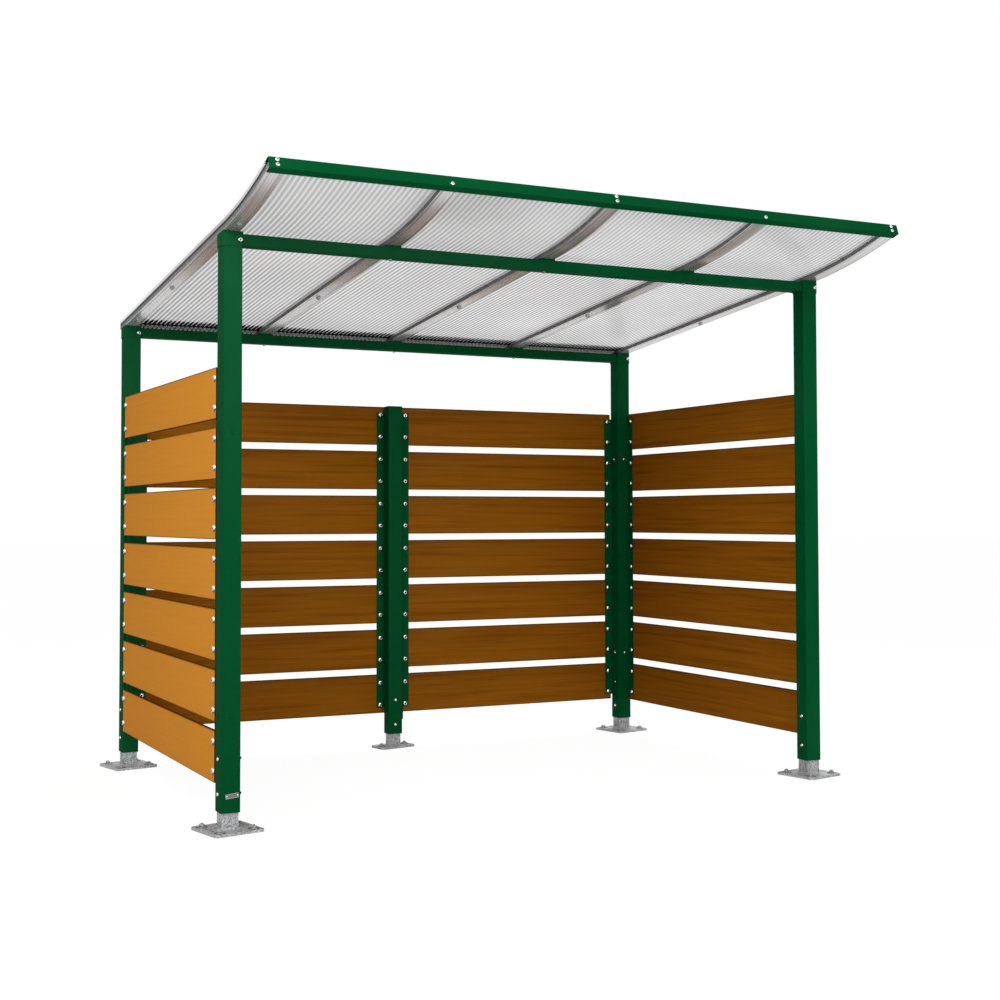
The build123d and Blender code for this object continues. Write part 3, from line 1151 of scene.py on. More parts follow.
@dataclass
class BoardWall:
    """One wall of seven boards, with its domed bolts on both faces.

    Attributes:
        finish: The finishes.
        node: The CAD node that the boards stand for.
        outward: Unit vector from the bay to the outside.
        bolt_runs: Places of the bolts along the wall, with how far the inner heads stand in from the outside.
        seed: Seed of the grain's random shifts; the bolts' turns take their own, a hundred higher.
        board: Height of a board.
        pitch: From one board's lower edge to the next one's.
        count: Number of boards.
        rounding: Width of the softened edges.
        grain_reach: Greatest shift of a board's grain.
        bolt: Head of the bolts.
        bolt_rise: How far the bolts stand over and under a board's middle.
    """

    finish: Finishes
    node: str
    outward: Vector
    bolt_runs: tuple[Point, ...]
    seed: int
    board: float = 0.180
    pitch: float = 0.210
    count: int = 7
    rounding: float = 0.0012
    grain_reach: float = 40.0
    bolt: Bolt = Bolt(0.0122, 0.0064, 0.0046)
    bolt_rise: float = 0.0515

    GRAIN_MAP = "grain"
    FACE_MAP = "face"

    def build(self) -> None:
        """Make the boards and their bolts."""
        low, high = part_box(self.node)
        along = BACK if abs(self.outward.x) > 0.5 else Side.RIGHT.out
        shifts = random.Random(self.seed)
        drawn = Draft()
        maps: list[tuple[Point, Point]] = []
        for row in range(self.count):
            base = low.z + row * self.pitch
            shift = (shifts.uniform(0.0, self.grain_reach), shifts.uniform(0.0, self.grain_reach))
            corners = (Vector((low.x, low.y, base)), Vector((high.x, high.y, base + self.board)))
            maps += self.slab(drawn, corners, along, shift)
        finishes = [self.finish.board_out, self.finish.board_in_painted_shade, self.finish.board_edge]
        made = drawn.piece(f"{self.node}_planks", finishes, Slot.BOARDS)
        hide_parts(self.node)
        self.unwrap(made.data, maps)
        self.bolts(low, high, along)

    def slab(
        self, drawn: Draft, box: tuple[Vector, Vector], along: Vector, shift: Point
    ) -> list[tuple[Point, Point]]:
        """Draw one board with softened edges.

        Args:
            drawn: Draft to draw in.
            box: Lowest and highest corner.
            along: Unit vector along the board.
            shift: Shift of the board's grain.

        Returns:
            Grain and face coordinates of each corner.
        """
        cross, middle, size = self.outward, (box[0] + box[1]) / 2, box[1] - box[0]
        half_run, half_rise, half_thick = abs(size.dot(along)) / 2, size.z / 2, abs(size.dot(cross)) / 2
        soft, blunt = self.rounding, self.rounding * 0.3
        rings = [
            (half_run - soft, half_rise - soft, -half_thick),
            (half_run - blunt, half_rise - blunt, -half_thick + blunt),
            (half_run, half_rise, -half_thick + soft),
            (half_run, half_rise, half_thick - soft),
            (half_run - blunt, half_rise - blunt, half_thick - blunt),
            (half_run - soft, half_rise - soft, half_thick),
        ]
        corners: list[Vector] = []
        maps: list[tuple[Point, Point]] = []
        for run, rise, thick in rings:
            for u, v in SQUARE:
                corners.append(middle + along * run * u + UP * (rise * v) + cross * thick)
                place, level = half_run + run * u, half_rise + rise * v
                grain = (shift[0] + place, shift[1] + rise * v)
                maps.append((grain, (place / (2 * half_run), level / (2 * half_rise))))
        faces = ends(len(rings), 4) + bands(len(rings), 4)
        if along.cross(UP).dot(cross) <= 0:
            faces = [tuple(reversed(face)) for face in faces]
        first = len(drawn.faces)
        drawn.add(corners, faces, skin=2)
        drawn.skins[first : first + 2] = [1, 0]
        return maps

    def unwrap(self, mesh: bpy.types.Mesh, maps: Sequence[tuple[Point, Point]]) -> None:
        """Write the grain and face coordinates.

        Args:
            mesh: The boards' mesh.
            maps: Coordinates of each corner.
        """
        for number, name in enumerate((self.GRAIN_MAP, self.FACE_MAP)):
            layer = mesh.uv_layers.new(name=name)
            for loop in mesh.loops:
                layer.data[loop.index].uv = maps[loop.vertex_index][number]

    def bolts(self, low: Vector, high: Vector, along: Vector) -> None:
        """Put two bolts in each board end, heads on both faces.

        Args:
            low: Lowest corner of the wall.
            high: Highest corner of the wall.
            along: Unit vector along the boards.
        """
        heads = BoltSet(self.bolt, self.seed + 100)
        edge = high if self.outward.x + self.outward.y > 0 else low
        face = edge.dot(self.outward)
        for row in range(self.count):
            middle = low.z + row * self.pitch + self.board / 2
            for rise in (-self.bolt_rise, self.bolt_rise):
                for place, stand_in in self.bolt_runs:
                    spot = along * place + UP * (middle + rise)
                    heads.put(spot + self.outward * face, self.outward)
                    heads.put(spot + self.outward * (face - stand_in), -self.outward)
        heads.drawn.piece(f"{self.node}_bolts", [self.finish.steel, self.finish.socket], Slot.GALVANISED)


@dataclass
class Roof:
    """Ribs with their caps and seals, and the fluted sheets between them.

    Heights are over the ribs' underside, and runs along it.

    Attributes:
        finish: The finishes.
        line: Side view of the roof.
        width: Width over the posts.
        rib: Width of a rib.
        soft: Width of the ribs' and caps' softened edges.
        brow: The same along the upper edges of a rib's base.
        seal_soft: The same of the seals and the trim.
        grooves: Places of the grooves across a rib's underside.
        groove: Section of one groove.
        web: Thickness of a rib's web.
        base: Height of a rib's base.
        panel_low: Height of the sheets' underside.
        panel_high: Height of their upper side.
        cap_low: Height of the caps' underside.
        cap_high: Height of their tops.
        crown: How far the caps' tops fall to their edges.
        lip_low: Height of the end caps' lips.
        lip: Thickness of a lip.
        fascia: Depth of the fascia's flanges behind the roof's front end.
        panel_edge: From a rib's middle to the sheet's edge.
        panel_inset: How far the sheets stop short of the roof's back end.
        front_inset: How far they stop short of its front end.
        flute: Pitch of the sheets' flutes.
        ripple: Height of the ripple that the flutes raise on the sheets.
        steps_per_flute: Steps across a flute.
        flute_shade_edges: How far from the back end the painted shade in the flutes reaches, widest first.
        bar_run: Runs from the back end where the bars across it start and end.
        plug_run: The same of the flutes' plugs.
        plug_share: Half a plug's width, in flutes.
        plug_drop: How far a plug hangs.
        gap: Room between the bars and the ribs.
        end_plug: Least and greatest height of the ribs' end plugs.
        end_plug_inset: How far they stand in from a rib's sides.
        end_plug_run: How far they pass the roof's back end, and reach in from it.
        hanger: Head of the hanger bolts.
        hanger_back: How far the hanger bolts stand behind the posts' front faces.
        screw: Head of the caps' screws.
        screw_runs: Runs at which the caps are screwed down.
        sunk: How far plugs and screws stand in what they sit on.
    """

    finish: Finishes
    line: RoofLine
    width: float = 2.564
    rib: float = 0.060
    soft: float = 0.0012
    brow: float = 0.0005
    seal_soft: float = 0.0003
    grooves: tuple[float, ...] = (-0.0225, -0.0190, 0.0190, 0.0225)
    groove: tuple[Point, ...] = ((-0.0007, 0.0), (-0.0004, 0.0011), (0.0004, 0.0011), (0.0007, 0.0))
    web: float = 0.008
    base: float = 0.016
    panel_low: float = 0.018
    panel_high: float = 0.034
    cap_low: float = 0.036
    cap_high: float = 0.041
    crown: float = 0.0006
    lip_low: float = 0.027
    lip: float = 0.003
    fascia: float = 0.0343
    panel_edge: float = 0.010
    panel_inset: float = 0.0017
    front_inset: float = 0.0003
    flute: float = 0.0200
    ripple: float = 0.0006
    steps_per_flute: int = 8
    flute_shade_edges: tuple[float, ...] = (0.078, 0.126, 0.150)
    bar_run: Point = (0.0003, 0.0060)
    plug_run: Point = (0.0020, 0.052)
    plug_share: float = 0.31
    plug_drop: float = 0.0085
    gap: float = 0.0004
    end_plug: Point = (0.0165, 0.0405)
    end_plug_inset: float = 0.0008
    end_plug_run: Point = (-0.0022, 0.0002)
    hanger: Bolt = Bolt(0.0100, 0.0080, 0.0030)
    hanger_back: float = 0.805
    screw: Bolt = Bolt(0.0065, 0.0038, 0.0022, 18)
    screw_runs: tuple[float, ...] = (-1.45, -1.10, -0.75, -0.40, -0.05, 0.30)
    sunk: float = 0.0001

    FLUTE_MAP = "flutes"

    @property
    def rib_places(self) -> list[float]:
        """X of each rib's middle."""
        half = self.width / 2
        inner = [self.width * bay / 4 - half for bay in (1, 2, 3)]
        return [self.rib / 2 - half, *inner, half - self.rib / 2]

    @property
    def bays(self) -> list[Point]:
        """X of the two ribs' middles at the sides of each bay."""
        return list(zip(self.rib_places, self.rib_places[1:]))

    def build(self) -> None:
        """Make the ribs, caps, sheets and their small parts."""
        for number, x in enumerate(self.rib_places, start=1):
            self.make_rib(number, x)
            self.make_cap(number, x)
        for number, (left, right) in enumerate(self.bays, start=1):
            self.make_sheet(number, left + self.panel_edge, right - self.panel_edge)
        for node in ("rib_seals", "panel_end_trim"):
            dress_node(node, self.finish.rubber, self.seal_soft)
        self.make_flute_plugs()
        self.make_screws()
        self.make_end_plugs()

    def from_back(self, *runs: float) -> list[Station]:
        """Stations at runs from the roof's back end."""
        return [self.line.at(-self.line.back_run + run) for run in runs]

    def make_rib(self, number: int, x: float) -> None:
        """Make one rib with grooves along its underside.

        Args:
            number: Number of the rib, from the left.
            x: Its middle.
        """
        half, soft, brow, web = self.rib / 2, self.soft, self.brow, self.web / 2
        under = [(-half, soft), (-half + soft, 0.0)]
        under += [(groove + u, v) for groove in self.grooves for u, v in self.groove]
        under += [(half - soft, 0.0), (half, soft)]
        right = [(half, self.base - brow), (half - brow, self.base)]
        middle = [(web, self.base), (web, self.cap_low), (-web, self.cap_low), (-web, self.base)]
        left = [(-half + brow, self.base), (-half, self.base - brow)]
        front = self.line.front_run - self.fascia
        parts = (
            (under + right + middle + left, self.line.between(-self.line.back_run, front)),
            (under + right + left, self.line.between(front, self.line.front_run, arc_steps=3)),
        )

        def skin_at(step: int, side: int) -> int:
            """Bright underside; sides and top in painted shade."""
            return 0 if side < len(under) - 1 else 1

        drawn = Draft()
        for section, stations in parts:
            drawn.swept([(x + u, v) for u, v in section], stations, skin_at)
        finishes = [self.finish.aluminium, self.finish.rib_side_painted_shade]
        made = drawn.piece(f"rib_{number}_extrusion", finishes, Slot.ALUMINIUM, sharp=30.0)
        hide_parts(f"rib_{number}")

    def make_cap(self, number: int, x: float) -> None:
        """Make one rib cap, crowned and with softened edges, lipped on an end rib.

        Args:
            number: Number of the rib, from the left.
            x: Its middle.
        """
        half, low, high, soft = self.rib / 2, self.cap_low, self.cap_high, self.soft
        brim, eave = high - self.crown, high - soft - self.crown
        section = [(-half, low), (half, low), (half, eave), (half - soft, brim)]
        section += [(half * 0.5, high), (-half * 0.5, high), (-half + soft, brim), (-half, eave)]
        if number in (1, len(self.rib_places)):
            lip = [(-half, self.lip_low), (-half + self.lip, self.lip_low), (-half + self.lip, low)]
            section = [*lip, *section[1:]]
            if number > 1:
                section = [(-u, v) for u, v in reversed(section)]
        stations = self.line.between(-self.line.back_run, self.line.front_run - self.fascia)
        drawn = Draft()
        drawn.swept([(x + u, v) for u, v in section], stations)
        made = drawn.piece(f"rib_{number}_cover", [self.finish.aluminium], Slot.ALUMINIUM, sharp=30.0)
        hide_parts(f"rib_cap_{number}")

    def flute_count(self, left: float, right: float) -> int:
        """Whole flutes in a sheet between two edges."""
        return round((right - left) / self.flute)

    def make_sheet(self, number: int, left: float, right: float) -> None:
        """Make one fluted sheet, with painted shade in its flutes at the back end.

        Args:
            number: Number of the bay, from the left.
            left: Left edge.
            right: Right edge.
        """
        per_flute = self.steps_per_flute
        steps = self.flute_count(left, right) * per_flute
        below: list[Point] = []
        above: list[Point] = []
        for step in range(steps + 1):
            x = left + (right - left) * step / steps
            swell = self.ripple * 0.5 * (1.0 - math.cos(math.tau * step / per_flute))
            below.append((x, self.panel_low + swell))
            above.append((x, self.panel_high - swell))
        stations = self.from_back(self.panel_inset, *self.flute_shade_edges)
        stations += self.line.between(0.0, self.line.front_run - self.front_inset, arc_steps=26)
        # Painted shade: each flute goes dark near the back end, narrowing to a point towards the front.
        shaded_width = {row: per_flute - 2 * row for row in range(len(self.flute_shade_edges))}

        def skin_at(step: int, side: int) -> int:
            """Painted shade narrowing to a point in each flute, bare sheet elsewhere."""
            column = side if side < steps else 2 * steps - side
            middle = abs(column % per_flute + 0.5 - per_flute / 2)
            return 1 if middle < shaded_width.get(step, 0) / 2 else 0

        drawn = Draft()
        drawn.swept(below + above[::-1], stations, skin_at)
        finishes = [self.finish.roof, self.finish.grime_and_shade]
        made = drawn.piece(f"roof_sheet_{number}", finishes, Slot.ROOF_SHEET, sharp=70.0)
        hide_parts(f"roof_panel_{number}")
        flutes = made.data.uv_layers.new(name=self.FLUTE_MAP)
        count = 2 * (steps + 1)
        for loop in made.data.loops:
            row, place = divmod(loop.vertex_index, count)
            column = place if place <= steps else count - 1 - place
            flutes.data[loop.index].uv = (column / per_flute, stations[row].y)

    def make_flute_plugs(self) -> None:
        """Close the sheets' back ends, between the ribs, with a dark bar and a round plug at each flute."""
        bars, plugs = Draft(), Draft()
        half = self.flute * self.plug_share
        arc = [math.pi * (1.0 + step / 6) for step in range(7)]
        top, low = self.panel_low - self.sunk, self.panel_low - self.plug_drop
        for rib, following in self.bays:
            left, right = rib + self.rib / 2 + self.gap, following - self.rib / 2 - self.gap
            bars.swept([(left, low), (right, low), (right, top), (left, top)], self.from_back(*self.bar_run))
            start, end = rib + self.panel_edge, following - self.panel_edge
            count = self.flute_count(start, end)
            for flute in range(count):
                middle = start + (end - start) * (flute + 0.5) / count
                if left + half < middle < right - half:
                    section = [(middle + half * math.cos(a), top + self.plug_drop * math.sin(a)) for a in arc]
                    plugs.swept(section, self.from_back(*self.plug_run))
        bars.piece("flute_end_bars", [self.finish.rubber], Slot.RUBBER, sharp=30.0)
        plugs.piece("flute_plugs", [self.finish.flute_plug], Slot.RUBBER, sharp=50.0)

    def make_screws(self) -> None:
        """Put a hanger bolt under each rib and screws along each cap."""
        hangers = BoltSet(self.hanger, seed=31)
        screws = BoltSet(self.screw, seed=37)
        under = self.line.at((self.line.arc_start - self.hanger_back) / math.cos(self.line.pitch))
        for x in self.rib_places:
            hangers.put(under.lift(x, 0.0), -under.up)
            for run in self.screw_runs:
                station = self.line.at(run)
                screws.put(station.lift(x, self.cap_high - self.sunk), station.up)
        hangers.drawn.piece("rib_hanger_bolts", [self.finish.zinc, self.finish.socket], Slot.GALVANISED)
        screws.drawn.piece("rib_cap_screws", [self.finish.steel, self.finish.socket], Slot.GALVANISED)

    def make_end_plugs(self) -> None:
        """Close the back end of each rib over its base with a dark plug."""
        plugs = Draft()
        low, high = self.end_plug
        half = self.rib / 2 - self.end_plug_inset
        for x in self.rib_places:
            section = [(x - half, low), (x + half, low), (x + half, high), (x - half, high)]
            plugs.swept(section, self.from_back(*self.end_plug_run))
        plugs.piece("rib_end_plugs", [self.finish.rubber], Slot.RUBBER, sharp=30.0)


@dataclass
class Fixings:
    """Bolts and screws on the posts, caps, beams, brackets and fascia.

    Attributes:
        finish: The finishes.
        line: Side view of the roof.
        width: Width over the posts.
        post: Width of a post.
        proud: How far the faces of the caps and brackets stand off their post's.
        foot_screw: Head of the foot screws.
        foot_heights: Heights of the foot screws in the corner posts.
        middle_heights: Heights of the foot screws in the middle post.
        bracket_screw: Head of the brackets' screws.
        bracket_heights: Heights of the brackets' fixings.
        cap_bolt: Head of the cap bolts.
        cap_bolt_out: How far the cap bolts stand to the right of their post's middle.
        cap_bolt_drop: How far they stand under the roof.
        beam_screw: Head of the beam screws.
        beam_screw_back: How far they stand behind the beam's middle.
        beam_plug: Head of the beam plugs.
        beam_plug_spot: X of the beam plugs, and their height over the beam's underside.
        fascia_bolt: Head of the fascia's bolts.
        fascia_reach: How far the fascia's face stands before the roof's front end.
        fascia_pairs: X of the fascia's pairs of bolts.
        pair_heights: Heights of a pair's bolts over the ribs' underside.
        fascia_singles: X and height of the fascia's single bolts.
    """

    finish: Finishes
    line: RoofLine
    width: float = 2.564
    post: float = 0.070
    proud: float = 0.0023
    foot_screw: Bolt = Bolt(0.0075, 0.0045, 0.0020, 18)
    foot_heights: Point = (0.125, 0.245)
    middle_heights: Point = (0.108, 0.222)
    bracket_screw: Bolt = Bolt(0.0075, 0.0045, 0.0025, 18)
    bracket_heights: Point = (0.3925, 1.368)
    cap_bolt: Bolt = Bolt(0.0100, 0.0066, 0.0032)
    cap_bolt_out: float = 0.025
    cap_bolt_drop: float = 0.030
    beam_screw: Bolt = Bolt(0.0070, 0.0060, 0.0024, 18)
    beam_screw_back: float = 0.008
    beam_plug: Bolt = Bolt(0.0042, 0.0010, 0.0018, 18)
    beam_plug_spot: Point = (0.228, 0.013)
    fascia_bolt: Bolt = Bolt(0.0074, 0.0027, 0.0024, 18)
    fascia_reach: float = 0.0025
    fascia_pairs: tuple[float, ...] = (-1.252, 0.002, 1.253)
    pair_heights: Point = (0.028, 0.010)
    fascia_singles: tuple[Point, ...] = ((-0.641, 0.009), (0.647, 0.009))

    def build(self) -> None:
        """Make every fixing."""
        self.foot_screws()
        self.cap_bolts()
        self.beam_screws()
        self.bracket_screws()
        self.post_plugs()
        self.fascia_bolts()

    def finish_set(self, bolts: BoltSet, name: str) -> None:
        """Make a set of bright bolts."""
        bolts.drawn.piece(name, [self.finish.steel, self.finish.socket], Slot.GALVANISED)

    def post_centre(self, corner: str) -> Vector:
        """Middle of a corner post, at ground height."""
        middle = middle_of(f"{corner}_post")
        return Vector((middle.x, middle.y, 0.0))

    def foot_screws(self) -> None:
        """Put screws through the posts into the foot tubes, on discs of painted shadow, two with their nuts
        showing.
        """
        bolts = BoltSet(self.foot_screw, seed=41)
        # A dark disc a little wider than each head: painted shadow round the screw.
        hole = Draft().turned(RingShape.ROUND.rings((0.0106, -0.0002), (0.0103, 0.0002)), dark_from=0)
        nut_rings = RingShape.HEX.rings((0.0068, -0.0002), (0.0068, 0.0060))
        nut_rings += RingShape.ROUND.rings((0.0064, 0.0068))
        nut_rings += RingShape.ROUND.rings((0.0042, 0.0070), (0.0042, 0.0116), (0.0034, 0.0124))
        nut = Draft().turned(nut_rings, dark_from=0)
        for corner in CORNERS:
            for height in self.foot_heights:
                for side in Side:
                    spot = self.post_centre(corner) + side.out * self.post / 2 + UP * height
                    bolts.drawn.stamp(hole, facing(spot, side.out))
                    if corner == "front_left" and side is Side.RIGHT:
                        bolts.drawn.stamp(nut, facing(spot, side.out))
                    else:
                        bolts.put(spot, side.out)
        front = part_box("middle_post")[0].y
        for height in self.middle_heights:
            spot = Vector((middle_of("middle_post").x, front, height))
            bolts.drawn.stamp(hole, facing(spot, FRONT))
            bolts.put(spot, FRONT)
        self.finish_set(bolts, "foot_screws")

    def cap_bolts(self) -> None:
        """Put a bolt in the front face of each cap."""
        bolts = BoltSet(self.cap_bolt, seed=43)
        for corner in CORNERS:
            centre = self.post_centre(corner)
            front = centre.y - self.post / 2
            seat = self.line.seat - (front - self.line.front_face) * math.tan(self.line.pitch)
            spot = Vector((centre.x + self.cap_bolt_out, front - self.proud, seat - self.cap_bolt_drop))
            bolts.put(spot, FRONT)
        self.finish_set(bolts, "cap_bolts")

    def beam_screws(self) -> None:
        """Put screws under the beams at the inner ribs, and plug one hole in each beam's front."""
        bolts = BoltSet(self.beam_screw, seed=47)
        plugs = BoltSet(self.beam_plug, seed=53)
        plug_x, plug_rise = self.beam_plug_spot
        for beam in ("front_beam", "back_beam"):
            low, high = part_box(beam)
            for x in (-self.width / 4, 0.0, self.width / 4):
                bolts.put(Vector((x, (low.y + high.y) / 2 + self.beam_screw_back, low.z)), DOWN)
            plugs.put(Vector((plug_x, low.y, low.z + plug_rise)), FRONT)
        self.finish_set(bolts, "beam_screws")
        plugs.drawn.piece("beam_plugs", [self.finish.socket, self.finish.socket], Slot.RUBBER)

    def bracket_screws(self) -> None:
        """Fix the back brackets to two faces of their posts."""
        bolts = BoltSet(self.bracket_screw, seed=59)
        reach = self.post / 2 + self.proud
        for corner, inner in (("back_left", Side.RIGHT), ("back_right", Side.LEFT)):
            for height in self.bracket_heights:
                for out in (inner.out, FRONT):
                    bolts.put(self.post_centre(corner) + out * reach + UP * height, out)
        self.finish_set(bolts, "bracket_screws")

    def post_plugs(self) -> None:
        """Close the front posts' fixing holes with low painted plugs."""
        wall = ((0.0080, -0.0002), (0.0080, 0.0008))
        dome = ((0.0070, 0.0018), (0.0040, 0.0024), (0.0010, 0.0025))
        plug = Draft().turned(RingShape.ROUND.rings(*wall, *dome))
        drawn = Draft()
        for corner in ("front_left", "front_right"):
            centre = self.post_centre(corner)
            for height in self.bracket_heights:
                for out in (FRONT, Side.LEFT.out, Side.RIGHT.out):
                    drawn.stamp(plug, facing(centre + out * self.post / 2 + UP * height, out))
        drawn.piece("post_plugs", [self.finish.paint], Slot.GREEN_PAINT, sharp=60.0)

    def fascia_bolts(self) -> None:
        """Bolt the fascia to the ribs, in pairs at the ends and the middle."""
        bolts = BoltSet(self.fascia_bolt, seed=61)
        end = self.line.at(self.line.front_run)
        out = Vector((0, -math.cos(end.angle), math.sin(end.angle)))
        pairs = [(x, height) for x in self.fascia_pairs for height in self.pair_heights]
        for x, height in (*pairs, *self.fascia_singles):
            bolts.put(end.lift(x, height) + out * self.fascia_reach, out)
        self.finish_set(bolts, "fascia_bolts")


@dataclass
class BarePlate:
    """The small bare plate low on the front left post, rimmed and held by two rivets.

    Attributes:
        finish: The finishes.
        width: Width of the plate.
        height: Height of the plate.
        proud: Thickness of the plate.
        turn: How far it sits askew.
        rim: Width of its rim.
        sink: Depth of the field inside the rim, and of the rim's soft edges.
        rivet_inset: From the plate's ends to the rivets' middles.
    """

    finish: Finishes
    width: float = 0.046
    height: float = 0.016
    proud: float = 0.001
    turn: float = math.radians(6.0)
    rim: float = 0.0016
    sink: float = 0.0003
    rivet_inset: float = 0.0048

    def build(self) -> None:
        """Make the plate and its rivets."""
        middle, back = middle_of("blank_plate"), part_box("blank_plate")[1].y
        place = Matrix.Translation((middle.x, back, middle.z)) @ Matrix.Rotation(-self.turn, 4, "Y")
        levels = (
            (0.0, 0.0),
            (0.0, self.proud - self.sink),
            (self.sink, self.proud),
            (self.rim, self.proud),
            (self.rim + self.sink, self.proud - self.sink),
        )
        corners = [
            Vector((u * (self.width / 2 - inset), -proud, v * (self.height / 2 - inset)))
            for inset, proud in levels
            for u, v in SQUARE
        ]
        base, middle_field = ends(len(levels), 4)
        plate = Draft()
        plate.add(corners, [base, *bands(len(levels), 4), middle_field])
        plate.skins[-1] = 1
        drawn = Draft()
        drawn.stamp(plate, place)
        made = drawn.piece("bare_plate", [self.finish.aluminium, self.finish.plate_field], Slot.ALUMINIUM)
        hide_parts("blank_plate")
        dome = RingShape.ROUND.rings((0.0022, -0.0002), (0.0020, 0.0005), (0.0010, 0.0010))
        rivet = Draft().turned(dome, sides=18)
        rivets = Draft()
        for side in Side:
            spot = Vector((side.value * (self.width / 2 - self.rivet_inset), self.sink - self.proud, 0.0))
            rivets.stamp(rivet, place @ facing(spot, FRONT))
        rivets.piece("plate_rivets", [self.finish.steel], Slot.ALUMINIUM)


# Studio


@dataclass(frozen=True)
class Lamp:
    """One soft square light.

    Attributes:
        name: Name of the light.
        spot: Where it hangs.
        target: Where it points.
        size: Side of the square.
        power: Power in watts.
    """

    name: str
    spot: Spot
    target: Spot
    size: float
    power: float

    def hang(self) -> None:
        """Make the light."""
        data = bpy.data.lights.new(self.name, "AREA")
        data.shape = "SQUARE"
        data.size = self.size
        data.energy = self.power
        light = bpy.data.objects.new(self.name, data)
        light.location = self.spot
        light.rotation_euler = (Vector(self.target) - Vector(self.spot)).to_track_quat("-Z", "Y").to_euler()
        light.visible_camera = False
        bpy.context.scene.collection.objects.link(light)


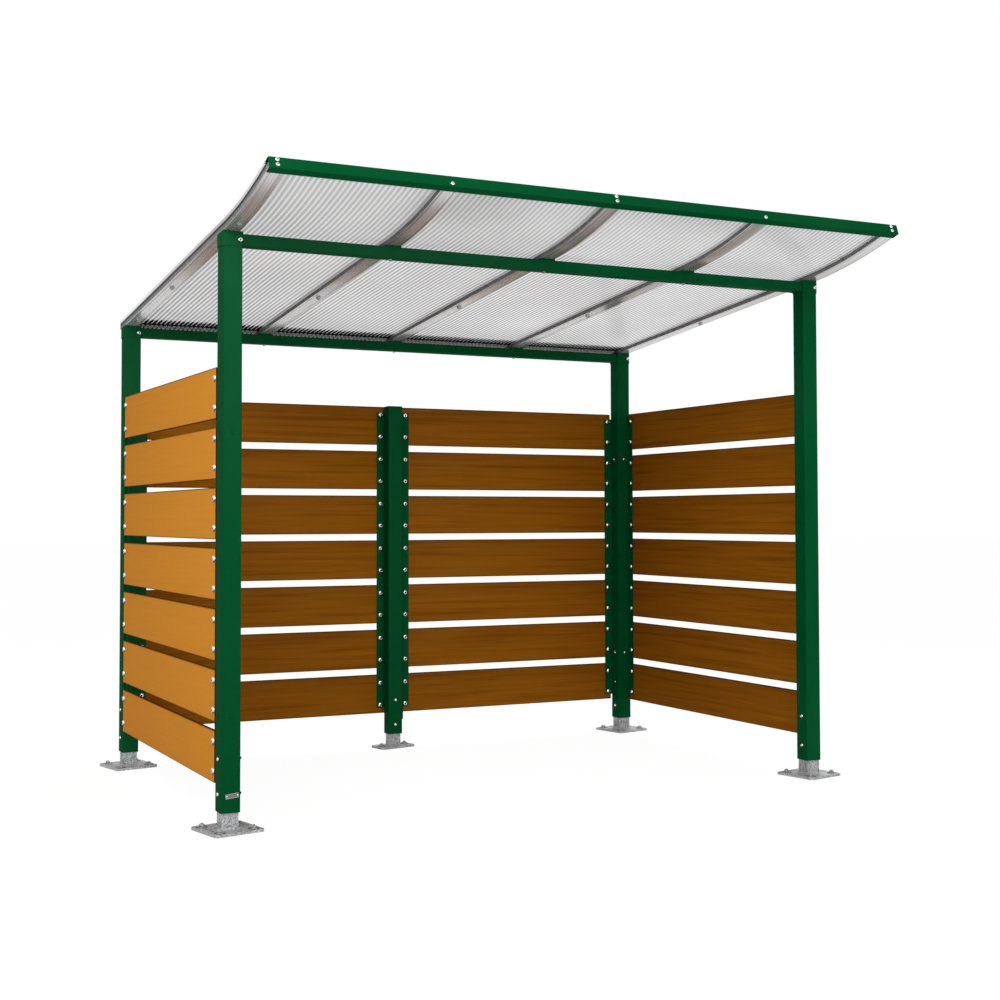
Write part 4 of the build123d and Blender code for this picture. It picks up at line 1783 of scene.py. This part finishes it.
@dataclass
class Studio:
    """Pale floor, plain background, soft lights and the camera.

    Attributes:
        front_face: Y of the posts' front faces.
        spot: Place of the camera, from the middle of the posts' front faces on the ground.
        yaw: Turn of its view towards +X.
        pitch: Tilt of its view upwards.
        roll: Turn about its view.
        focal: Focal length in widths of the image.
        centre: Pixel where the view's axis meets the image.
        sensor: Width of the sensor in millimetres.
        sight: How far the camera sees.
        ambient: Strength of the light from all round.
        floor_tones: Grey of the floor's darker and paler patches.
        floor_reach: Half the floor's width.
        floor_glow: Strength of the floor's own light.
        floor_share: Share of that light where the floor is seen.
        lamps: The lights.
    """

    front_face: float
    spot: Spot = (-2.74132, -4.96088, 1.06772)
    yaw: float = math.radians(26.019)
    pitch: float = math.radians(2.032)
    roll: float = math.radians(-0.079)
    focal: float = 1.487228
    centre: Point = (474.355, 466.101)
    sensor: float = 36.0
    sight: float = 200.0
    ambient: float = 0.62
    floor_tones: Point = (0.84, 0.86)
    floor_reach: float = 60.0
    floor_glow: float = 1.03
    floor_share: float = 0.92
    lamps: tuple[Lamp, ...] = (
        Lamp("key", (-3.2, -3.2, 3.7), (-0.4, 0.0, 1.3), 2.2, 105.0),
        Lamp("front", (0.8, -5.8, 3.0), (0.0, 0.0, 1.2), 3.2, 118.0),
        Lamp("side", (-4.2, 0.4, 2.4), (-1.3, 0.2, 1.2), 1.8, 9.0),
        Lamp("top", (2.5, 2.0, 4.8), (0.7, 0.4, 1.9), 3.0, 150.0),
    )

    def build(self) -> None:
        """Make the whole studio."""
        self.make_camera()
        self.make_floor()
        self.make_world()
        for lamp in self.lamps:
            lamp.hang()
        bpy.context.scene.view_settings.view_transform = "Standard"

    def make_camera(self) -> None:
        """Stand the camera where the photograph was taken."""
        data = bpy.data.cameras.new("camera")
        data.sensor_width = self.sensor
        data.lens = self.sensor * self.focal
        data.shift_x = 0.5 - self.centre[0] / IMAGE_SIZE
        data.shift_y = self.centre[1] / IMAGE_SIZE - 0.5
        data.clip_end = self.sight
        camera = bpy.data.objects.new("camera", data)
        turn = Matrix.Rotation(-self.yaw, 4, "Z") @ Matrix.Rotation(math.pi / 2 + self.pitch, 4, "X")
        spot = Vector(self.spot) + Vector((0.0, self.front_face, 0.0))
        camera.matrix_world = Matrix.Translation(spot) @ turn @ Matrix.Rotation(self.roll, 4, "Z")
        bpy.context.scene.collection.objects.link(camera)
        bpy.context.scene.camera = camera

    def seen_share(self, tree: bpy.types.NodeTree) -> Any:
        """A factor of 1 for rays from the camera, from gloss and through glass.

        Args:
            tree: Node tree to wire it in.

        Returns:
            The factor output.
        """
        path = tree.nodes.new("ShaderNodeLightPath")
        total = path.outputs["Is Camera Ray"]
        for name in ("Is Glossy Ray", "Is Transmission Ray"):
            step = tree.nodes.new("ShaderNodeMath")
            step.operation = "MAXIMUM"
            tree.links.new(total, step.inputs[0])
            tree.links.new(path.outputs[name], step.inputs[1])
            total = step.outputs["Value"]
        return total

    def make_floor(self) -> None:
        """Lay a pale floor that keeps the shadows."""
        mesh = bpy.data.meshes.new("floor")
        corners = [(self.floor_reach * u, self.floor_reach * v, 0.0) for u, v in SQUARE]
        mesh.from_pydata(corners, [], [(0, 1, 2, 3)])
        floor = bpy.data.objects.new("floor", mesh)
        bpy.context.scene.collection.objects.link(floor)
        sheet = ShaderSheet("pale_floor")
        stops = zip((0.3, 0.7), ((tone, tone, tone) for tone in self.floor_tones))
        sheet.coat(sheet.ramp(sheet.noise(0.6, 3.0), stops), 0.9)
        sheet.set(specular_ior_level=0.1)
        glow = sheet.node("Emission", {"Color": WHITE, "Strength": self.floor_glow})
        share = sheet.math("MULTIPLY", self.seen_share(sheet.tree), self.floor_share)
        sheet.cover(share, glow.outputs["Emission"])
        mesh.materials.append(sheet.material)

    def make_world(self) -> None:
        """Light the object evenly, and show white behind it."""
        world = bpy.data.worlds.new("studio")
        bpy.context.scene.world = world
        world.use_nodes = True
        tree = world.node_tree
        background = tree.nodes["Background"]
        background.inputs["Color"].default_value = (*WHITE, 1.0)
        level = tree.nodes.new("ShaderNodeMapRange")
        tree.links.new(self.seen_share(tree), level.inputs["Value"])
        level.inputs["To Min"].default_value = self.ambient
        tree.links.new(level.outputs["Result"], background.inputs["Strength"])


def walls(finish: Finishes, front: float, back: float, half: float, post: float = 0.070) -> list[BoardWall]:
    """The four board walls.

    Args:
        finish: The finishes.
        front: Y of the posts' front faces.
        back: Y of the posts' back faces.
        half: Half the width over the posts.
        post: Width of a post.

    Returns:
        The walls, ready to build.
    """
    margin, flange = 0.0245, 0.012
    side_runs = ((front + post + margin, flange), (back - post - margin, flange))
    outer, plate_left, plate_right = half - post - margin, -0.0604, 0.0646
    return [
        BoardWall(finish, "left_boards", Side.LEFT.out, side_runs, 1),
        BoardWall(finish, "right_boards", Side.RIGHT.out, side_runs, 2),
        BoardWall(finish, "back_left_boards", BACK, ((-outer, flange), (plate_left, flange)), 3),
        BoardWall(finish, "back_right_boards", BACK, ((plate_right, flange), (outer, flange)), 4),
    ]


def main() -> None:
    """Build the shelter's visual model and its studio."""
    logging.basicConfig(level=logging.INFO, format="%(name)s: %(message)s")
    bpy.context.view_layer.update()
    finish = Finishes()
    low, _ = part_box("front_left_post")
    _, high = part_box("back_right_post")
    line = RoofLine(front_face=low.y, depth=high.y - low.y)
    PaintedFrame(finish).build()
    Feet(finish).build()
    for wall in walls(finish, low.y, high.y, high.x):
        wall.build()
    Roof(finish, line).build()
    Fixings(finish, line).build()
    BarePlate(finish).build()
    Studio(low.y).build()


if __name__ == "__main__":
    main()
